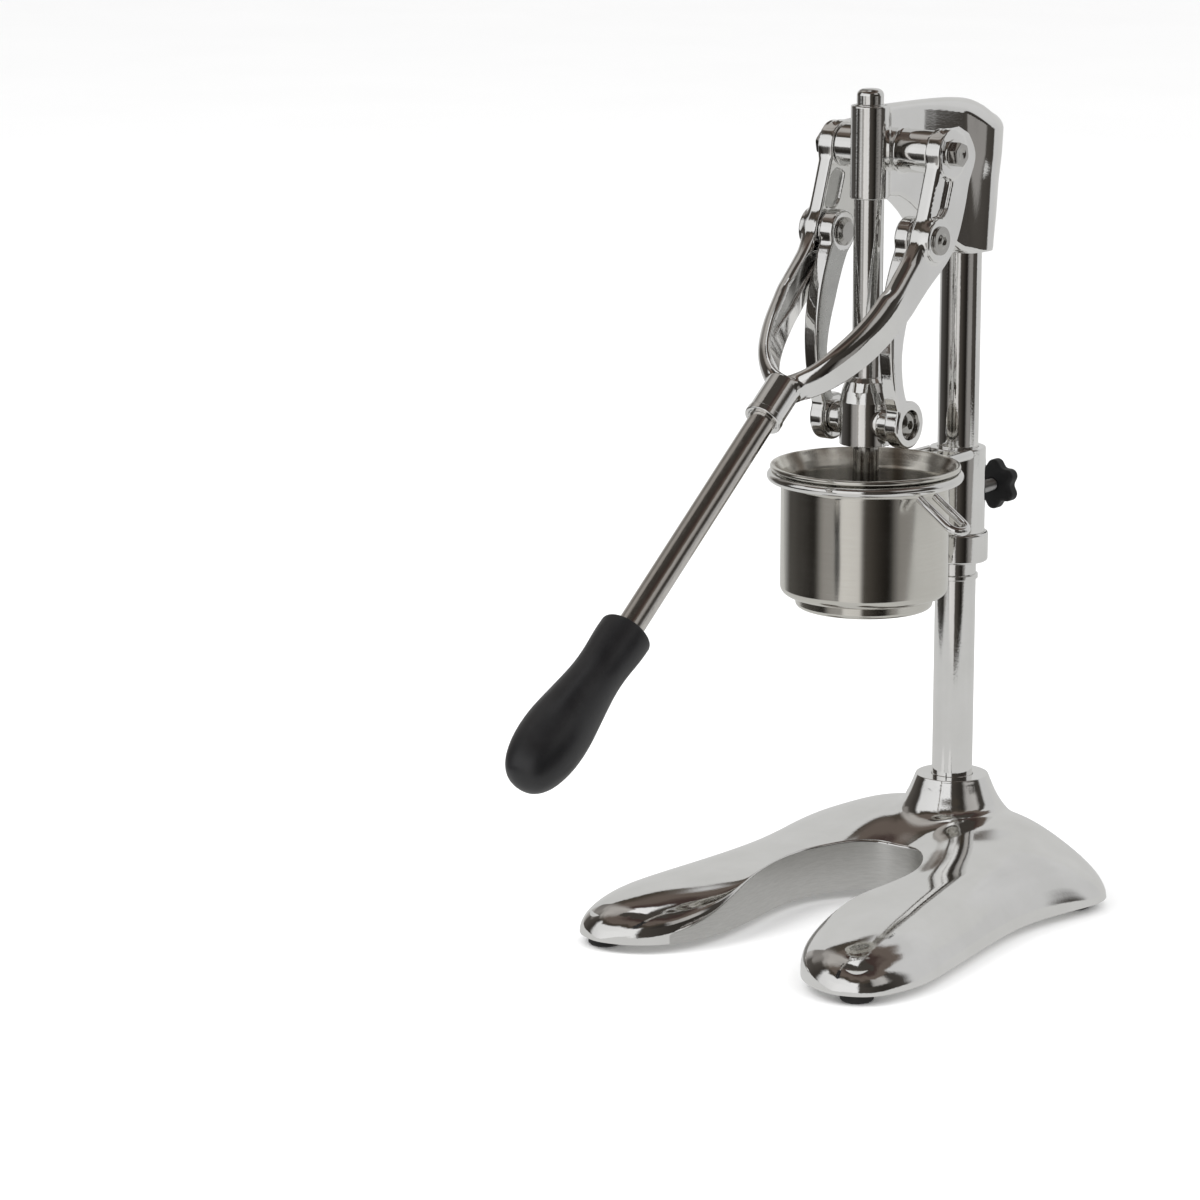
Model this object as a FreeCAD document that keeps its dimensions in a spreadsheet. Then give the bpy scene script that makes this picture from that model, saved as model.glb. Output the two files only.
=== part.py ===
import FreeCAD, Part
import Sketcher
import math
import os

# Hand-lever press: horseshoe base, round column, head with a forked lever,
# two bowed links, a guided rod with a press disc, and a cup in a ring holder.
# +Z up, the lever points to -Y, the column stands at the back, millimetres.

V = FreeCAD.Vector
doc = FreeCAD.newDocument("press")

# ---------------------------------------------------------------- dimensions
sheet = doc.addObject("Spreadsheet::Sheet", "Sizes")
ROWS = [0]


class Dim:
    """A number together with the expression text that gives it."""

    def __init__(self, value, text):
        self.v = float(value)
        self.t = text

    @staticmethod
    def of(x):
        return x if isinstance(x, Dim) else Dim(x, "(%.6f)" % x)

    def __add__(self, o):
        o = Dim.of(o)
        return Dim(self.v + o.v, "(%s + %s)" % (self.t, o.t))

    def __radd__(self, o):
        return Dim.of(o) + self

    def __sub__(self, o):
        o = Dim.of(o)
        return Dim(self.v - o.v, "(%s - %s)" % (self.t, o.t))

    def __rsub__(self, o):
        return Dim.of(o) - self

    def __mul__(self, o):
        o = Dim.of(o)
        return Dim(self.v * o.v, "(%s * %s)" % (self.t, o.t))

    __rmul__ = __mul__

    def __truediv__(self, o):
        o = Dim.of(o)
        return Dim(self.v / o.v, "(%s / %s)" % (self.t, o.t))

    def __neg__(self):
        return Dim(-self.v, "(0 - %s)" % self.t)


def cell(name, value, note=""):
    ROWS[0] += 1
    r = ROWS[0]
    sheet.set("A%d" % r, name)
    sheet.set("B%d" % r, repr(value))
    sheet.set("C%d" % r, note)
    sheet.setAlias("B%d" % r, name)
    return Dim(value, "Sizes." + name)


# the shift that puts the origin under the middle of the whole object
shift = cell("frame_shift", 0.0, "moves every piece along Y")

# column and base
col_r = cell("column_radius", 12.7, "25.4 mm tube")
col_wall = cell("column_wall", 1.5)
col_bot = cell("column_bottom", 24.0)
col_top = cell("column_top", 480.0)
base_z = cell("base_bottom", 6.0, "underside of the casting")
sock_top = cell("socket_top", 70.9)
sock_r = cell("socket_radius", 22.9)
foot_r = cell("foot_radius", 10.0)
foot_fx = cell("front_foot_x", 92.0)
foot_fy = cell("front_foot_y", -241.0)
foot_rx = cell("rear_foot_x", 93.0)
foot_ry = cell("rear_foot_y", -2.0)
shell_t = cell("base_wall", 7.0)

# rod line and pivots
rod_y = cell("rod_line_y", -102.4)
piv_y = cell("pivot_y", -79.3)
piv_z = cell("pivot_z", 473.1)
mid_y = cell("mid_pin_y", -96.0)
mid_z = cell("mid_pin_z", 423.5)
low_z = cell("low_pin_z", 312.0)

# head
neck_x = cell("neck_half_width", 9.8)
head_r = cell("head_cone_bottom_radius", 19.5)
head_rt = cell("head_cone_top_radius", 24.8)
head_bot = cell("head_bottom", 405.0)
hub_r = cell("hub_radius", 13.0)
hub_x = cell("hub_half_length", 33.0)
boss_r = cell("guide_boss_radius", 11.5)
boss_bot = cell("guide_boss_bottom", 445.9)
boss_top = cell("guide_boss_top", 501.3)
rod_r = cell("rod_radius", 9.0)
rod_low_r = cell("rod_low_radius", 8.0)
slide_gap = cell("sliding_clearance", 0.06)
shaft_r = cell("pivot_shaft_radius", 7.0)
pin_gap = cell("pin_clearance", 0.05)

# lever
arm_in = cell("arm_inner_x", 33.3)
arm_out = cell("arm_outer_x", 43.6)
lever_deg = cell("lever_angle", 38.1, "below horizontal")
tube_r = cell("handle_tube_radius", 8.0)
tube_wall = cell("handle_tube_wall", 1.2)
socket_len = cell("fork_socket_length", 29.0)
socket_r = cell("fork_socket_radius", 11.0)
seat_y = cell("fork_seat_y", -187.9)
seat_z = cell("fork_seat_z", 344.8)
grip_at = cell("grip_start", 195.5, "along the lever from the fork seat")
grip_len = cell("grip_length", 119.0)
grip_deg = cell("grip_rise", 2.9, "the grip's axis rises from the tube's by this angle")

# links
link_in = cell("link_inner_x", 22.0)
link_out = cell("link_outer_x", 32.0)
link_w = cell("link_width", 14.0)
link_bow = cell("link_bow", 17.0)
eye_up = cell("link_upper_eye_radius", 13.0)
eye_low = cell("link_lower_eye_radius", 14.4)

# crosshead and rod
cross_r = cell("crosshead_radius", 16.0)
cross_bot = cell("crosshead_bottom", 297.6)
cross_top = cell("crosshead_top", 338.6)
cross_x = cell("crosshead_half_length", 21.7)
step_z = cell("rod_step", 306.0)
disc_z = cell("disc_bottom", 222.0)
disc_r = cell("disc_radius", 49.3)

# holder
sleeve_r = cell("sleeve_radius", 17.5)
sleeve_in = cell("sleeve_bore_radius", 12.78)
sleeve_bot = cell("sleeve_bottom", 227.3)
sleeve_top = cell("sleeve_top", 280.8)
collar_r = cell("collar_radius", 19.85)
collar_bot = cell("collar_bottom", 208.8)
stop_r = cell("stop_ring_radius", 14.0)
stop_bot = cell("stop_ring_bottom", 197.2)
stop_top = cell("stop_ring_top", 200.4)
ring_big = cell("support_ring_radius", 56.5)
ring_small = cell("support_ring_wire", 3.0, "radius")
ring_z = cell("support_ring_z", 278.0)
loop_w = cell("rest_loop_wire", 2.6, "radius")
knob_z = cell("knob_z", 250.0)
knob_r = cell("knob_radius", 16.0)
knob_at = cell("knob_start_y", 40.0)
knob_t = cell("knob_thickness", 9.5)
stem_r = cell("knob_screw_radius", 4.0)

# cup
cup_r = cell("cup_radius", 51.0)
cup_wall = cell("cup_wall", 1.2)
cup_bot = cell("cup_bottom", 205.0)
cup_top = cell("cup_top", 285.0)
cup_corner = cell("cup_corner_radius", 8.0)
lip_r = cell("cup_lip_radius", 57.6)
neck_r = cell("cup_neck_radius", 39.4)
ringo_r = cell("die_ring_radius", 41.65)
ringo_bot = cell("die_ring_bottom", 197.5)

doc.recompute()

# ------------------------------------------------------------------- helpers
MADE = []          # (label, object) of every piece that is written out


def plane_of(body, role):
    for o in body.Origin.OriginFeatures:
        if o.Role == role:
            return o


def new_body(label):
    b = doc.addObject("PartDesign::Body", label)
    b.Label = label
    return b


def new_sketch(body, role, offset=None):
    s = body.newObject("Sketcher::SketchObject", body.Name + "_sk%d" % len(body.Group))
    s.AttachmentSupport = [(plane_of(body, role), "")]
    s.MapMode = "FlatFace"
    if offset is not None:
        s.AttachmentOffset = FreeCAD.Placement(V(0, 0, offset.v), FreeCAD.Rotation())
        s.setExpression("AttachmentOffset.Base.z", offset.t)
    return s


def lock(s, kind, geo, pos, d):
    d = Dim.of(d)
    i = s.addConstraint(Sketcher.Constraint(kind, -1, 1, geo, pos, d.v))
    if "Sizes." in d.t:
        s.setExpression("Constraints[%d]" % i, d.t)


def polygon(s, pts):
    """Closed outline; every corner is held by sheet expressions."""
    n = len(pts)
    pts = [(Dim.of(a), Dim.of(b)) for a, b in pts]
    first = None
    for i in range(n):
        a, b = pts[i], pts[(i + 1) % n]
        g = s.addGeometry(Part.LineSegment(V(a[0].v, a[1].v, 0), V(b[0].v, b[1].v, 0)), False)
        if first is None:
            first = g
    for i in range(n):
        g, h = first + i, first + (i + 1) % n
        s.addConstraint(Sketcher.Constraint("Coincident", g, 2, h, 1))
    for i in range(n):
        g = first + i
        for k, kind in ((0, "DistanceX"), (1, "DistanceY")):
            d = pts[i][k]
            if abs(d.v) < 1e-9:
                s.addConstraint(Sketcher.Constraint("PointOnObject", g, 1, -2 if k == 0 else -1))
            else:
                lock(s, kind, g, 1, d)


def circle(s, x, y, r):
    x, y, r = Dim.of(x), Dim.of(y), Dim.of(r)
    g = s.addGeometry(Part.Circle(V(x.v, y.v, 0), V(0, 0, 1), r.v), False)
    i = s.addConstraint(Sketcher.Constraint("Radius", g, r.v))
    if "Sizes." in r.t:
        s.setExpression("Constraints[%d]" % i, r.t)
    if abs(x.v) < 1e-9 and abs(y.v) < 1e-9:
        s.addConstraint(Sketcher.Constraint("Coincident", g, 3, -1, 1))
    else:
        for k, kind, d in ((0, "DistanceX", x), (1, "DistanceY", y)):
            if abs(d.v) < 1e-9:
                s.addConstraint(Sketcher.Constraint("PointOnObject", g, 3, -2 if k == 0 else -1))
            else:
                lock(s, kind, g, 3, d)
    return g


def pad(body, sk, length, both=False, back=False):
    length = Dim.of(length)
    f = body.newObject("PartDesign::Pad", body.Name + "_pad%d" % len(body.Group))
    f.Profile = sk
    f.Length = length.v
    if "Sizes." in length.t:
        f.setExpression("Length", length.t)
    if both:
        f.SideType = "Symmetric"
    if back:
        f.Reversed = True
    f.Refine = True
    return f


def cut(body, sk, length, both=False, back=False):
    length = Dim.of(length)
    before = volume(body)
    f = body.newObject("PartDesign::Pocket", body.Name + "_cut%d" % len(body.Group))
    f.Profile = sk
    f.Length = length.v
    if "Sizes." in length.t:
        f.setExpression("Length", length.t)
    if both:
        f.SideType = "Symmetric"
    if back:
        f.Reversed = True
    doc.recompute()
    if volume(body) > before - 0.5:
        raise RuntimeError("nothing cut in " + body.Label)
    return f


def volume(body):
    doc.recompute()
    return body.Tip.Shape.Volume


def turn(body, sk):
    f = body.newObject("PartDesign::Revolution", body.Name + "_rev%d" % len(body.Group))
    f.Profile = sk
    f.ReferenceAxis = (sk, ["V_Axis"])
    f.Angle = 360.0
    return f


def groove(body, sk):
    before = volume(body)
    f = body.newObject("PartDesign::Groove", body.Name + "_grv%d" % len(body.Group))
    f.Profile = sk
    f.ReferenceAxis = (sk, ["V_Axis"])
    f.Angle = 360.0
    doc.recompute()
    if volume(body) > before - 0.1:
        raise RuntimeError("nothing turned off in " + body.Label)
    return f


def at(obj, x=0, y=0, z=0, rot=None):
    """Placement: bound to the sheet, with the common shift along Y."""
    x, y, z = Dim.of(x), Dim.of(y), Dim.of(z)
    y = y + shift
    obj.Placement = FreeCAD.Placement(V(x.v, y.v, z.v), rot or FreeCAD.Rotation())
    for k, d in (("x", x), ("y", y), ("z", z)):
        if "Sizes." in d.t:
            obj.setExpression("Placement.Base." + k, d.t)


def keep(obj):
    MADE.append(obj)
    return obj


def turned(label, pts, x=0, y=0, z=0, rot=None, hidden=False):
    """A turned piece: outline (radius, height) about its own Z axis."""
    b = new_body(label)
    s = new_sketch(b, "XZ_Plane")
    polygon(s, pts)
    turn(b, s)
    at(b, x, y, z, rot)
    if not hidden:
        keep(b)
    return b


def arc(cx, cz, r, a0, a1, n):
    """Points on an arc, degrees, as sheet expressions."""
    out = []
    for i in range(n + 1):
        a = math.radians(a0 + (a1 - a0) * i / n)
        out.append((Dim.of(cx) + Dim.of(r) * round(math.cos(a), 6),
                    Dim.of(cz) + Dim.of(r) * round(math.sin(a), 6)))
    return out


def solid_piece(label, shape):
    """A cast or bent piece whose shape is worked out from the sheet."""
    o = doc.addObject("Part::Feature", label)
    o.Label = label
    o.Shape = shape
    at(o)
    return keep(o)


def group_of(label, proto, places):
    """The same fastener several times, as separate solids of one piece."""
    doc.recompute()
    shapes = []
    base = proto.Tip.Shape
    for p in places:
        c = base.copy()
        c.Placement = p.multiply(base.Placement)
        shapes.append(c)
    return solid_piece(label, Part.makeCompound(shapes))


def cyl(r, length, pos, direction):
    return Part.makeCylinder(r, length, V(*pos), V(*direction))


TO_X = FreeCAD.Rotation(V(0, 1, 0), 90)       # own +Z to +X
TO_MX = FreeCAD.Rotation(V(0, 1, 0), -90)     # own +Z to -X
TO_Y = FreeCAD.Rotation(V(1, 0, 0), -90)      # own +Z to +Y

# ---------------------------------------------------------------------- base
# plan outlines of one side at the underside, from the middle of the back
# round to the toe; the other side is its mirror image
INNER = [(0, -58.5), (9, -59.6), (18, -64.5), (27, -74), (35, -88), (40, -104), (41.5, -121),
         (40.5, -140), (37.5, -165), (36, -190), (38.5, -212), (45, -230), (53.5, -242),
         (63.5, -250.2), (73, -254.6), (81.5, -256.4)]
OUTER = [(0, 45), (35, 41.5), (68, 33.5), (95, 24), (109, 10), (112, -8), (107, -34),
         (102, -68), (104, -106), (110, -148), (115.5, -186), (117.2, -212), (112.5, -236),
         (105.0, -248.6), (96.5, -254.2), (88.5, -256.4)]
# height of the inner edge, height of the crest, and where the crest runs across the leg
EDGE = [36, 36.5, 37.5, 37.8, 37.2, 37, 36.8, 36.2, 34, 26.5, 18.5, 14, 11.5, 9.5, 8.0, 6.9]
TOP = [50, 50.5, 49.5, 45.0, 41.4, 39.0, 37.6, 36.7, 35.8, 35.0, 33.8, 31.2, 27, 21, 15, 9.3]
WHERE = [0.62, 0.60, 0.54, 0.46, 0.43, 0.41, 0.42, 0.46, 0.48, 0.48, 0.48, 0.48, 0.48, 0.48, 0.48, 0.5]
RISE = [1.0, 1.0, 1.0, 1.0, 0.95, 0.9, 0.85, 0.75, 0.65, 0.55, 0.5, 0.5, 0.5, 0.5, 0.5, 0.5]
FALL = [2.3, 2.3, 2.1, 1.9, 1.75, 1.75, 1.9, 2.0, 2.0, 2.0, 2.0, 2.0, 2.0, 2.0, 2.0, 2.0]


def base_section(i, side, inset, low):
    xi, yi = INNER[i]
    xo, yo = OUTER[i]
    d = math.hypot(xo - xi, yo - yi)
    ux, uy = (xo - xi) / d, (yo - yi) / d
    a, b = inset, d - inset
    edge, top = EDGE[i] - low, TOP[i] - low
    if b - a < 4 or edge < base_z.v + 0.4 or top < base_z.v + 3:
        return None
    c = a + (b - a) * WHERE[i]
    pts = []
    for k in range(5):
        t = k / 5.0
        t = t * t * (3 - 2 * t) if RISE[i] < 0.8 else t
        z = edge + (top - edge) * (1 - (1 - t) ** 2) ** RISE[i]
        pts.append((a + (c - a) * t, z))
    for k in range(10):
        s = math.sin(math.pi * k / 18)
        pts.append((c + (b - c) * s,
                    base_z.v + (top - base_z.v) * max(1 - s ** FALL[i], 0.0) ** (1 / FALL[i])))
    pts = [V(side * (xi + ux * w), yi + uy * w, z) for w, z in pts]
    foot = V(pts[0].x, pts[0].y, base_z.v)
    pts[-1] = V(pts[-1].x, pts[-1].y, base_z.v)
    curve = Part.BSplineCurve()
    curve.interpolate(pts)
    if (pts[0] - foot).Length < 0.4:
        return None
    return Part.Wire([Part.makeLine(foot, pts[0]), curve.toShape(), Part.makeLine(pts[-1], foot)])


def horseshoe(inset, low):
    wires = []
    for i in range(len(INNER) - 1, 0, -1):
        w = base_section(i, -1, inset, low)
        if w:
            wires.append(w)
    for i in range(len(INNER)):
        w = base_section(i, 1, inset, low)
        if w:
            wires.append(w)
    return Part.makeLoft(wires, True, False)


outer = horseshoe(0.0, 0.0)
flare = Part.makePolygon([V(0, 0, base_z.v), V(42.4, 0, base_z.v), V(42.4, 0, 20), V(41.2, 0, 30),
                          V(38.5, 0, 40), V(35.0, 0, 47), V(31.6, 0, 52), V(28.9, 0, 57), V(26.4, 0, 62),
                          V(sock_r.v + 1.5, 0, sock_top.v - 3.9), V(sock_r.v, 0, sock_top.v),
                          V(0, 0, sock_top.v), V(0, 0, base_z.v)])
flare = Part.Face(flare).revolve(V(0, 0, 0), V(0, 0, 1), 360)
casting = outer.fuse([flare])
bosses = [cyl(9, 60, (sx * fx, fy, base_z.v), (0, 0, 1))
          for sx in (1, -1) for fx, fy in ((foot_fx.v, foot_fy.v), (foot_rx.v, foot_ry.v))]
hub = cyl(27, 60, (0, 0, 16), (0, 0, 1))
cavity = horseshoe(shell_t.v, shell_t.v)
cavity = cavity.cut(bosses + [hub])
casting = casting.cut(cavity)
drill = [cyl(12, 10.0, (0, 0, base_z.v), (0, 0, 1)),
         cyl(5.25, 20, (0, 0, 10), (0, 0, 1)),
         cyl(col_r.v, 60, (0, 0, col_bot.v), (0, 0, 1))]
for sx in (1, -1):
    for fx, fy in ((foot_fx.v, foot_fy.v), (foot_rx.v, foot_ry.v)):
        drill.append(cyl(2.5, 12, (sx * fx, fy, base_z.v), (0, 0, 1)))
casting = casting.cut(drill)
if len(casting.Solids) > 1:
    casting = max(casting.Solids, key=lambda q: q.Volume)
solid_piece("base_casting", casting)

# rubber feet and their screws
foot = turned("foot_proto", [(2.6, 3.0), (5.4, 3.0), (5.4, 0), (foot_r - 1.2, 0), (foot_r, 1.2),
                             (foot_r, base_z), (2.6, base_z)], hidden=True)
fscrew = turned("foot_screw_proto", [(0, 0.7), (3.6, 0.7), (4.8, 1.6), (4.8, 3.0), (2.5, 3.0),
                                     (2.5, 17.0), (1.6, 18.0), (0, 18.0)], hidden=True)
spots = []
for sx in (1, -1):
    for fx, fy in ((foot_fx.v, foot_fy.v), (foot_rx.v, foot_ry.v)):
        spots.append(FreeCAD.Placement(V(sx * fx, fy, 0), FreeCAD.Rotation()))
group_of("rubber_feet", foot, spots)
group_of("foot_screws", fscrew, spots)

# -------------------------------------------------------------------- column
turned("column_tube", [(col_r - col_wall, col_bot), (col_r, col_bot), (col_r, col_top),
                       (col_r - col_wall, col_top)])
turned("column_plug", [(5.0, col_bot), (col_r - col_wall, col_bot), (col_r - col_wall, col_bot + 24),
                       (5.0, col_bot + 24)])
turned("column_washer", [(5.3, 14), (11, 14), (11, 16), (5.3, 16)])
b = new_body("column_bolt")
s = new_sketch(b, "XY_Plane")
polygon(s, [(8.7 * math.cos(math.radians(60 * k)), 8.7 * math.sin(math.radians(60 * k)))
            for k in range(6)])
pad(b, s, 6.4)
s = new_sketch(b, "XY_Plane")
circle(s, 0, 0, 5.0)
pad(b, s, col_bot + 12)
at(b, 0, 0, 7.6)
keep(b)
turned("stop_ring", [(col_r, stop_bot), (stop_r - 0.4, stop_bot), (stop_r, stop_bot + 0.4),
                     (stop_r, stop_top - 0.4), (stop_r - 0.4, stop_top), (col_r, stop_top)])

# ---------------------------------------------------------------------- head
b = new_body("head_casting")
# neck: its plan, which widens into the socket
NECK_PLAN = [(10.3, -50), (11.8, -40), (14.0, -30), (16.3, -20), (18.2, -10), (19.2, 0)]
s = new_sketch(b, "XY_Plane", head_bot)
polygon(s, [(-neck_x, -100), (neck_x, -100), (neck_x, -56)] + NECK_PLAN
        + [(-x, y) for x, y in reversed(NECK_PLAN)] + [(-neck_x, -56)])
pad(b, s, 97.0)
# socket: a slightly flared round body about the column
s = new_sketch(b, "XZ_Plane")
polygon(s, [(0, head_bot), (head_r, head_bot), (21.0, 427), (22.1, 447), (23.7, 464), (24.4, 480),
            (head_rt, 501), (0, 501)])
turn(b, s)
# the top slopes down to the back, the underside rises to the guide boss
s = new_sketch(b, "YZ_Plane")
polygon(s, [(-101, 500.6), (-50, 499.4), (-18, 497.4), (-2, 495.6), (12, 491.0), (26, 485.0), (30, 483.0),
            (30, 510), (-101, 510)])
cut(b, s, 80, both=True)
s = new_sketch(b, "YZ_Plane")
polygon(s, [(-101, 400), (-101, 446.3), (-95, 446.3), (-84, 445.6), (-72, 441), (-62, 434.5), (-50, 425.5),
            (-38, 416.5), (-27, 409.5), (-20.5, 406), (-20.5, 400)])
cut(b, s, 80, both=True)
s = new_sketch(b, "YZ_Plane")
polygon(s, [(-101, 440), (-98, 440), (-98, 510), (-101, 510)])
cut(b, s, 80, both=True)
s = new_sketch(b, "XY_Plane", boss_bot)
circle(s, 0, rod_y, boss_r)
pad(b, s, boss_top - boss_bot)
s = new_sketch(b, "YZ_Plane")
circle(s, piv_y, piv_z, hub_r)
pad(b, s, hub_x * 2, both=True)
s = new_sketch(b, "XY_Plane", boss_bot - 5)
circle(s, 0, rod_y, rod_r + slide_gap)
cut(b, s, 70, back=True)
s = new_sketch(b, "XY_Plane", head_bot - 5)
circle(s, 0, 0, col_r)
cut(b, s, col_top - head_bot + 5, back=True)
s = new_sketch(b, "YZ_Plane")
circle(s, piv_y, piv_z, shaft_r + pin_gap)
cut(b, s, hub_x * 2 + 10, both=True)
s = new_sketch(b, "XZ_Plane")
circle(s, 0, 428, 4.0)
cut(b, s, 60)
at(b)
keep(b)
turned("head_screw", [(0, 0), (3.0, 0), (4.0, 1.0), (4.0, 8.6), (2.3, 8.6), (2.3, 6.0), (0, 6.0)],
       0, col_r, 428, TO_Y)

# --------------------------------------------------------------------- lever
ca, sa = math.cos(math.radians(lever_deg.v)), math.sin(math.radians(lever_deg.v))
ALONG = V(0, -ca, -sa)          # down the handle
FRONT = V(0, -sa, ca)           # out of the handle's upper side

# each section of the fork: centre, half width along w, half thickness
ai, ao = arm_in.v, arm_out.v
ac, ah = (ai + ao) / 2, (ao - ai) / 2
UPPER = [((-90.0, 481.5), (-60.5, 483.5)), ((-93.0, 470.0), (-53.3, 470.5)),
         ((-97.4, 456.5), (-58.6, 456.5)), ((-101.8, 443.5), (-62.3, 444.5)),
         ((-106.0, 432.8), (-66.6, 432.0)), ((-111.5, 422.5), (-72.3, 420.0)),
         ((-118.5, 413.8), (-81.5, 409.3)), ((-127.5, 405.2), (-95.5, 399.6)),
         ((-136.0, 397.8), (-110.5, 388.6))]
SECTIONS = []
for f, k in UPPER:
    c = V(ac, (f[0] + k[0]) / 2, (f[1] + k[1]) / 2)
    w = V(0, f[0] - k[0], f[1] - k[1])
    SECTIONS.append((c, w * 0.5, V(ah, 0, 0)))
# centre, half width, half thickness, turn of the plate, lowering along FRONT
LOWER = [(37.0, -137.5, 381.8, 11.6, 5.1, 12, 0), (34.6, -149.0, 372.5, 11.1, 5.1, 24, 0),
         (30.5, -160.5, 363.8, 10.6, 5.1, 38, 0), (24.8, -171.0, 356.2, 10.0, 5.1, 54, 0.2),
         (17.4, -179.8, 350.2, 8.9, 5.1, 69, 1.1), (9.0, -185.6, 346.4, 8.0, 5.1, 81, 1.9),
         (0.0, -187.9, 344.8, 6.8, 5.1, 90, 3.0)]
for x, y, z, hw, ht, turn_deg, low in LOWER:
    q = math.radians(turn_deg)
    n = V(math.cos(q), 0, 0) + ALONG * math.sin(q)
    SECTIONS.append((V(x, y, z) - FRONT * low, FRONT * hw, n * ht))
# size of the rounding of the outer front edge, section by section
ROUND = [1.0] * 11 + [0.8, 0.65, 0.5, 0.4, 0.3]


def fork_wire(k):
    c, w, n = SECTIONS[k]
    r = ROUND[k] / w.Length
    pts = [c + w - n, c + w - n * 0.52, c + w * (1 - 3.2 * r) + n * 0.42, c + w * (1 - 9.0 * r) + n,
           c - w + n, c - w - n]
    return Part.makePolygon(pts + [pts[0]])


def fork_half():
    ws = [fork_wire(k) for k in range(len(SECTIONS))]
    return Part.makeLoft(ws, True, False)


arms = []
for side in (1, -1):
    a = fork_half()
    if side < 0:
        a = a.mirror(V(0, 0, 0), V(1, 0, 0))
    arms.append(a)
piv = V(0, piv_y.v, piv_z.v)
mid = V(0, mid_y.v, mid_z.v)
extra = []
for side in (1, -1):
    x0 = ai if side > 0 else -ao
    extra.append(cyl(14.6, ao - ai, (x0, piv.y, piv.z), (1, 0, 0)))
    extra.append(cyl(13.0, ao + 3.2 - ai, (side * ai, mid.y, mid.z), (side, 0, 0)))
seat = V(0, seat_y.v, seat_z.v)
extra.append(cyl(socket_r.v, socket_len.v, tuple(seat + ALONG * 0.0), tuple(ALONG)))
fork = arms[0].fuse([arms[1]] + extra)
bores = []
for side in (1, -1):
    x0 = side * (ai - 5)
    bores.append(cyl(shaft_r.v, 30, (x0, piv.y, piv.z), (side, 0, 0)))
    bores.append(cyl(4.0, 40, (x0, mid.y, mid.z), (side, 0, 0)))
bores.append(cyl(tube_r.v, 60, tuple(seat + ALONG * 5.0), tuple(ALONG)))
bores.append(cyl(2.5, 20, tuple(seat + ALONG * 19.0 - FRONT * 3), tuple(FRONT * -1)))
fork = fork.cut(bores)
solid_piece("fork_lever", fork)

# pivot shaft with tapped ends, its bolts and washers
b = new_body("pivot_shaft")
s = new_sketch(b, "XY_Plane")
circle(s, 0, 0, shaft_r)
pad(b, s, arm_out * 2, both=True)
for sgn in (1, -1):
    s = new_sketch(b, "XY_Plane", arm_out * sgn)
    circle(s, 0, 0, 4.0)
    cut(b, s, 20, back=(sgn < 0))
at(b, 0, piv_y, piv_z, TO_X)
keep(b)

hexbolt = new_body("hex_bolt_proto")
s = new_sketch(hexbolt, "XY_Plane")
polygon(s, [(7.5 * math.cos(math.radians(60 * k + 30)), 7.5 * math.sin(math.radians(60 * k + 30)))
            for k in range(6)])
pad(hexbolt, s, 5.3)
s = new_sketch(hexbolt, "XY_Plane")
circle(s, 0, 0, 4.0)
pad(hexbolt, s, 18.0, back=True)
washer = turned("washer_proto", [(4.2, 0), (9.0, 0), (9.0, 1.6), (4.2, 1.6)], hidden=True)
doc.recompute()
ends = [FreeCAD.Placement(V(ao + 1.6, piv.y, piv.z), TO_X),
        FreeCAD.Placement(V(-ao - 1.6, piv.y, piv.z), TO_MX)]
group_of("pivot_bolts", hexbolt, ends)
group_of("pivot_washers", washer,
         [FreeCAD.Placement(V(ao, piv.y, piv.z), TO_X), FreeCAD.Placement(V(-ao, piv.y, piv.z), TO_MX)])

# shouldered bolts through the arms and the links' upper eyes
top_bolt = turned("link_bolt_proto", [(0, 3.4), (6.0, 3.4), (8.6, 1.6), (8.6, 0.0), (4.0, 0.0),
                                      (4.0, -25.0), (8.6, -25.0), (8.6, -26.4), (6.0, -28.0),
                                      (0, -28.0)], hidden=True)
bx = ao + 3.2
group_of("link_top_bolts", top_bolt,
         [FreeCAD.Placement(V(bx, mid.y, mid.z), TO_X), FreeCAD.Placement(V(-bx, mid.y, mid.z), TO_MX)])

# handle tube, its screw and the grip, all along the lever
LEVER_ROT = FreeCAD.Rotation(V(0, 0, 1), ALONG)
tube_in = tube_r - tube_wall
turned("handle_tube", [(tube_in, 5.0), (tube_r, 5.0), (tube_r, grip_at + grip_len - 16),
                       (tube_in, grip_at + grip_len - 16)], 0, seat_y, seat_z, LEVER_ROT)
# outline of the grip: distance from its upper end, radius
GRIP = [(0, 15.0), (1.2, 15.9), (10, 15.7), (20, 15.0), (34, 14.8), (50, 16.4), (64, 18.3), (75, 19.6),
        (84, 19.9), (94, 19.2), (101, 18.0), (106, 16.6), (110.5, 14.6), (114.5, 11.4), (117.5, 6.9), (119, 0)]
gp = [V(0, 0, 0)] + [V(r, 0, grip_len.v * q / 119.0) for q, r in GRIP] + [V(0, 0, 0)]
grip = Part.Face(Part.makePolygon(gp)).revolve(V(0, 0, 0), V(0, 0, 1), 360)
qg = math.radians(grip_deg.v)
grip_dir = ALONG * math.cos(qg) + FRONT * math.sin(qg)
grip_from = V(0, seat_y.v, seat_z.v) + ALONG * grip_at.v
grip.Placement = FreeCAD.Placement(grip_from, FreeCAD.Rotation(V(0, 0, 1), grip_dir))
grip = grip.cut(cyl(tube_r.v, grip_len.v - 11, tuple(grip_from - ALONG * 5.0), tuple(ALONG)))
solid_piece("grip", grip)
screw = cyl(2.5, 2.8, tuple(seat + ALONG * 19.0 - FRONT * 8.0), tuple(FRONT * -1))
solid_piece("tube_screw", screw.cut(cyl(1.3, 5, tuple(seat + ALONG * 19.0 - FRONT * 9.5),
                                        tuple(FRONT * -1))))

# --------------------------------------------------------------------- links
BACK = [(0, 11.5), (0.34, 11.5), (0.47, 7.8), (0.55, 6.0), (0.64, 3.9), (0.8, 2.6), (1, 4.5)]


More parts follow.
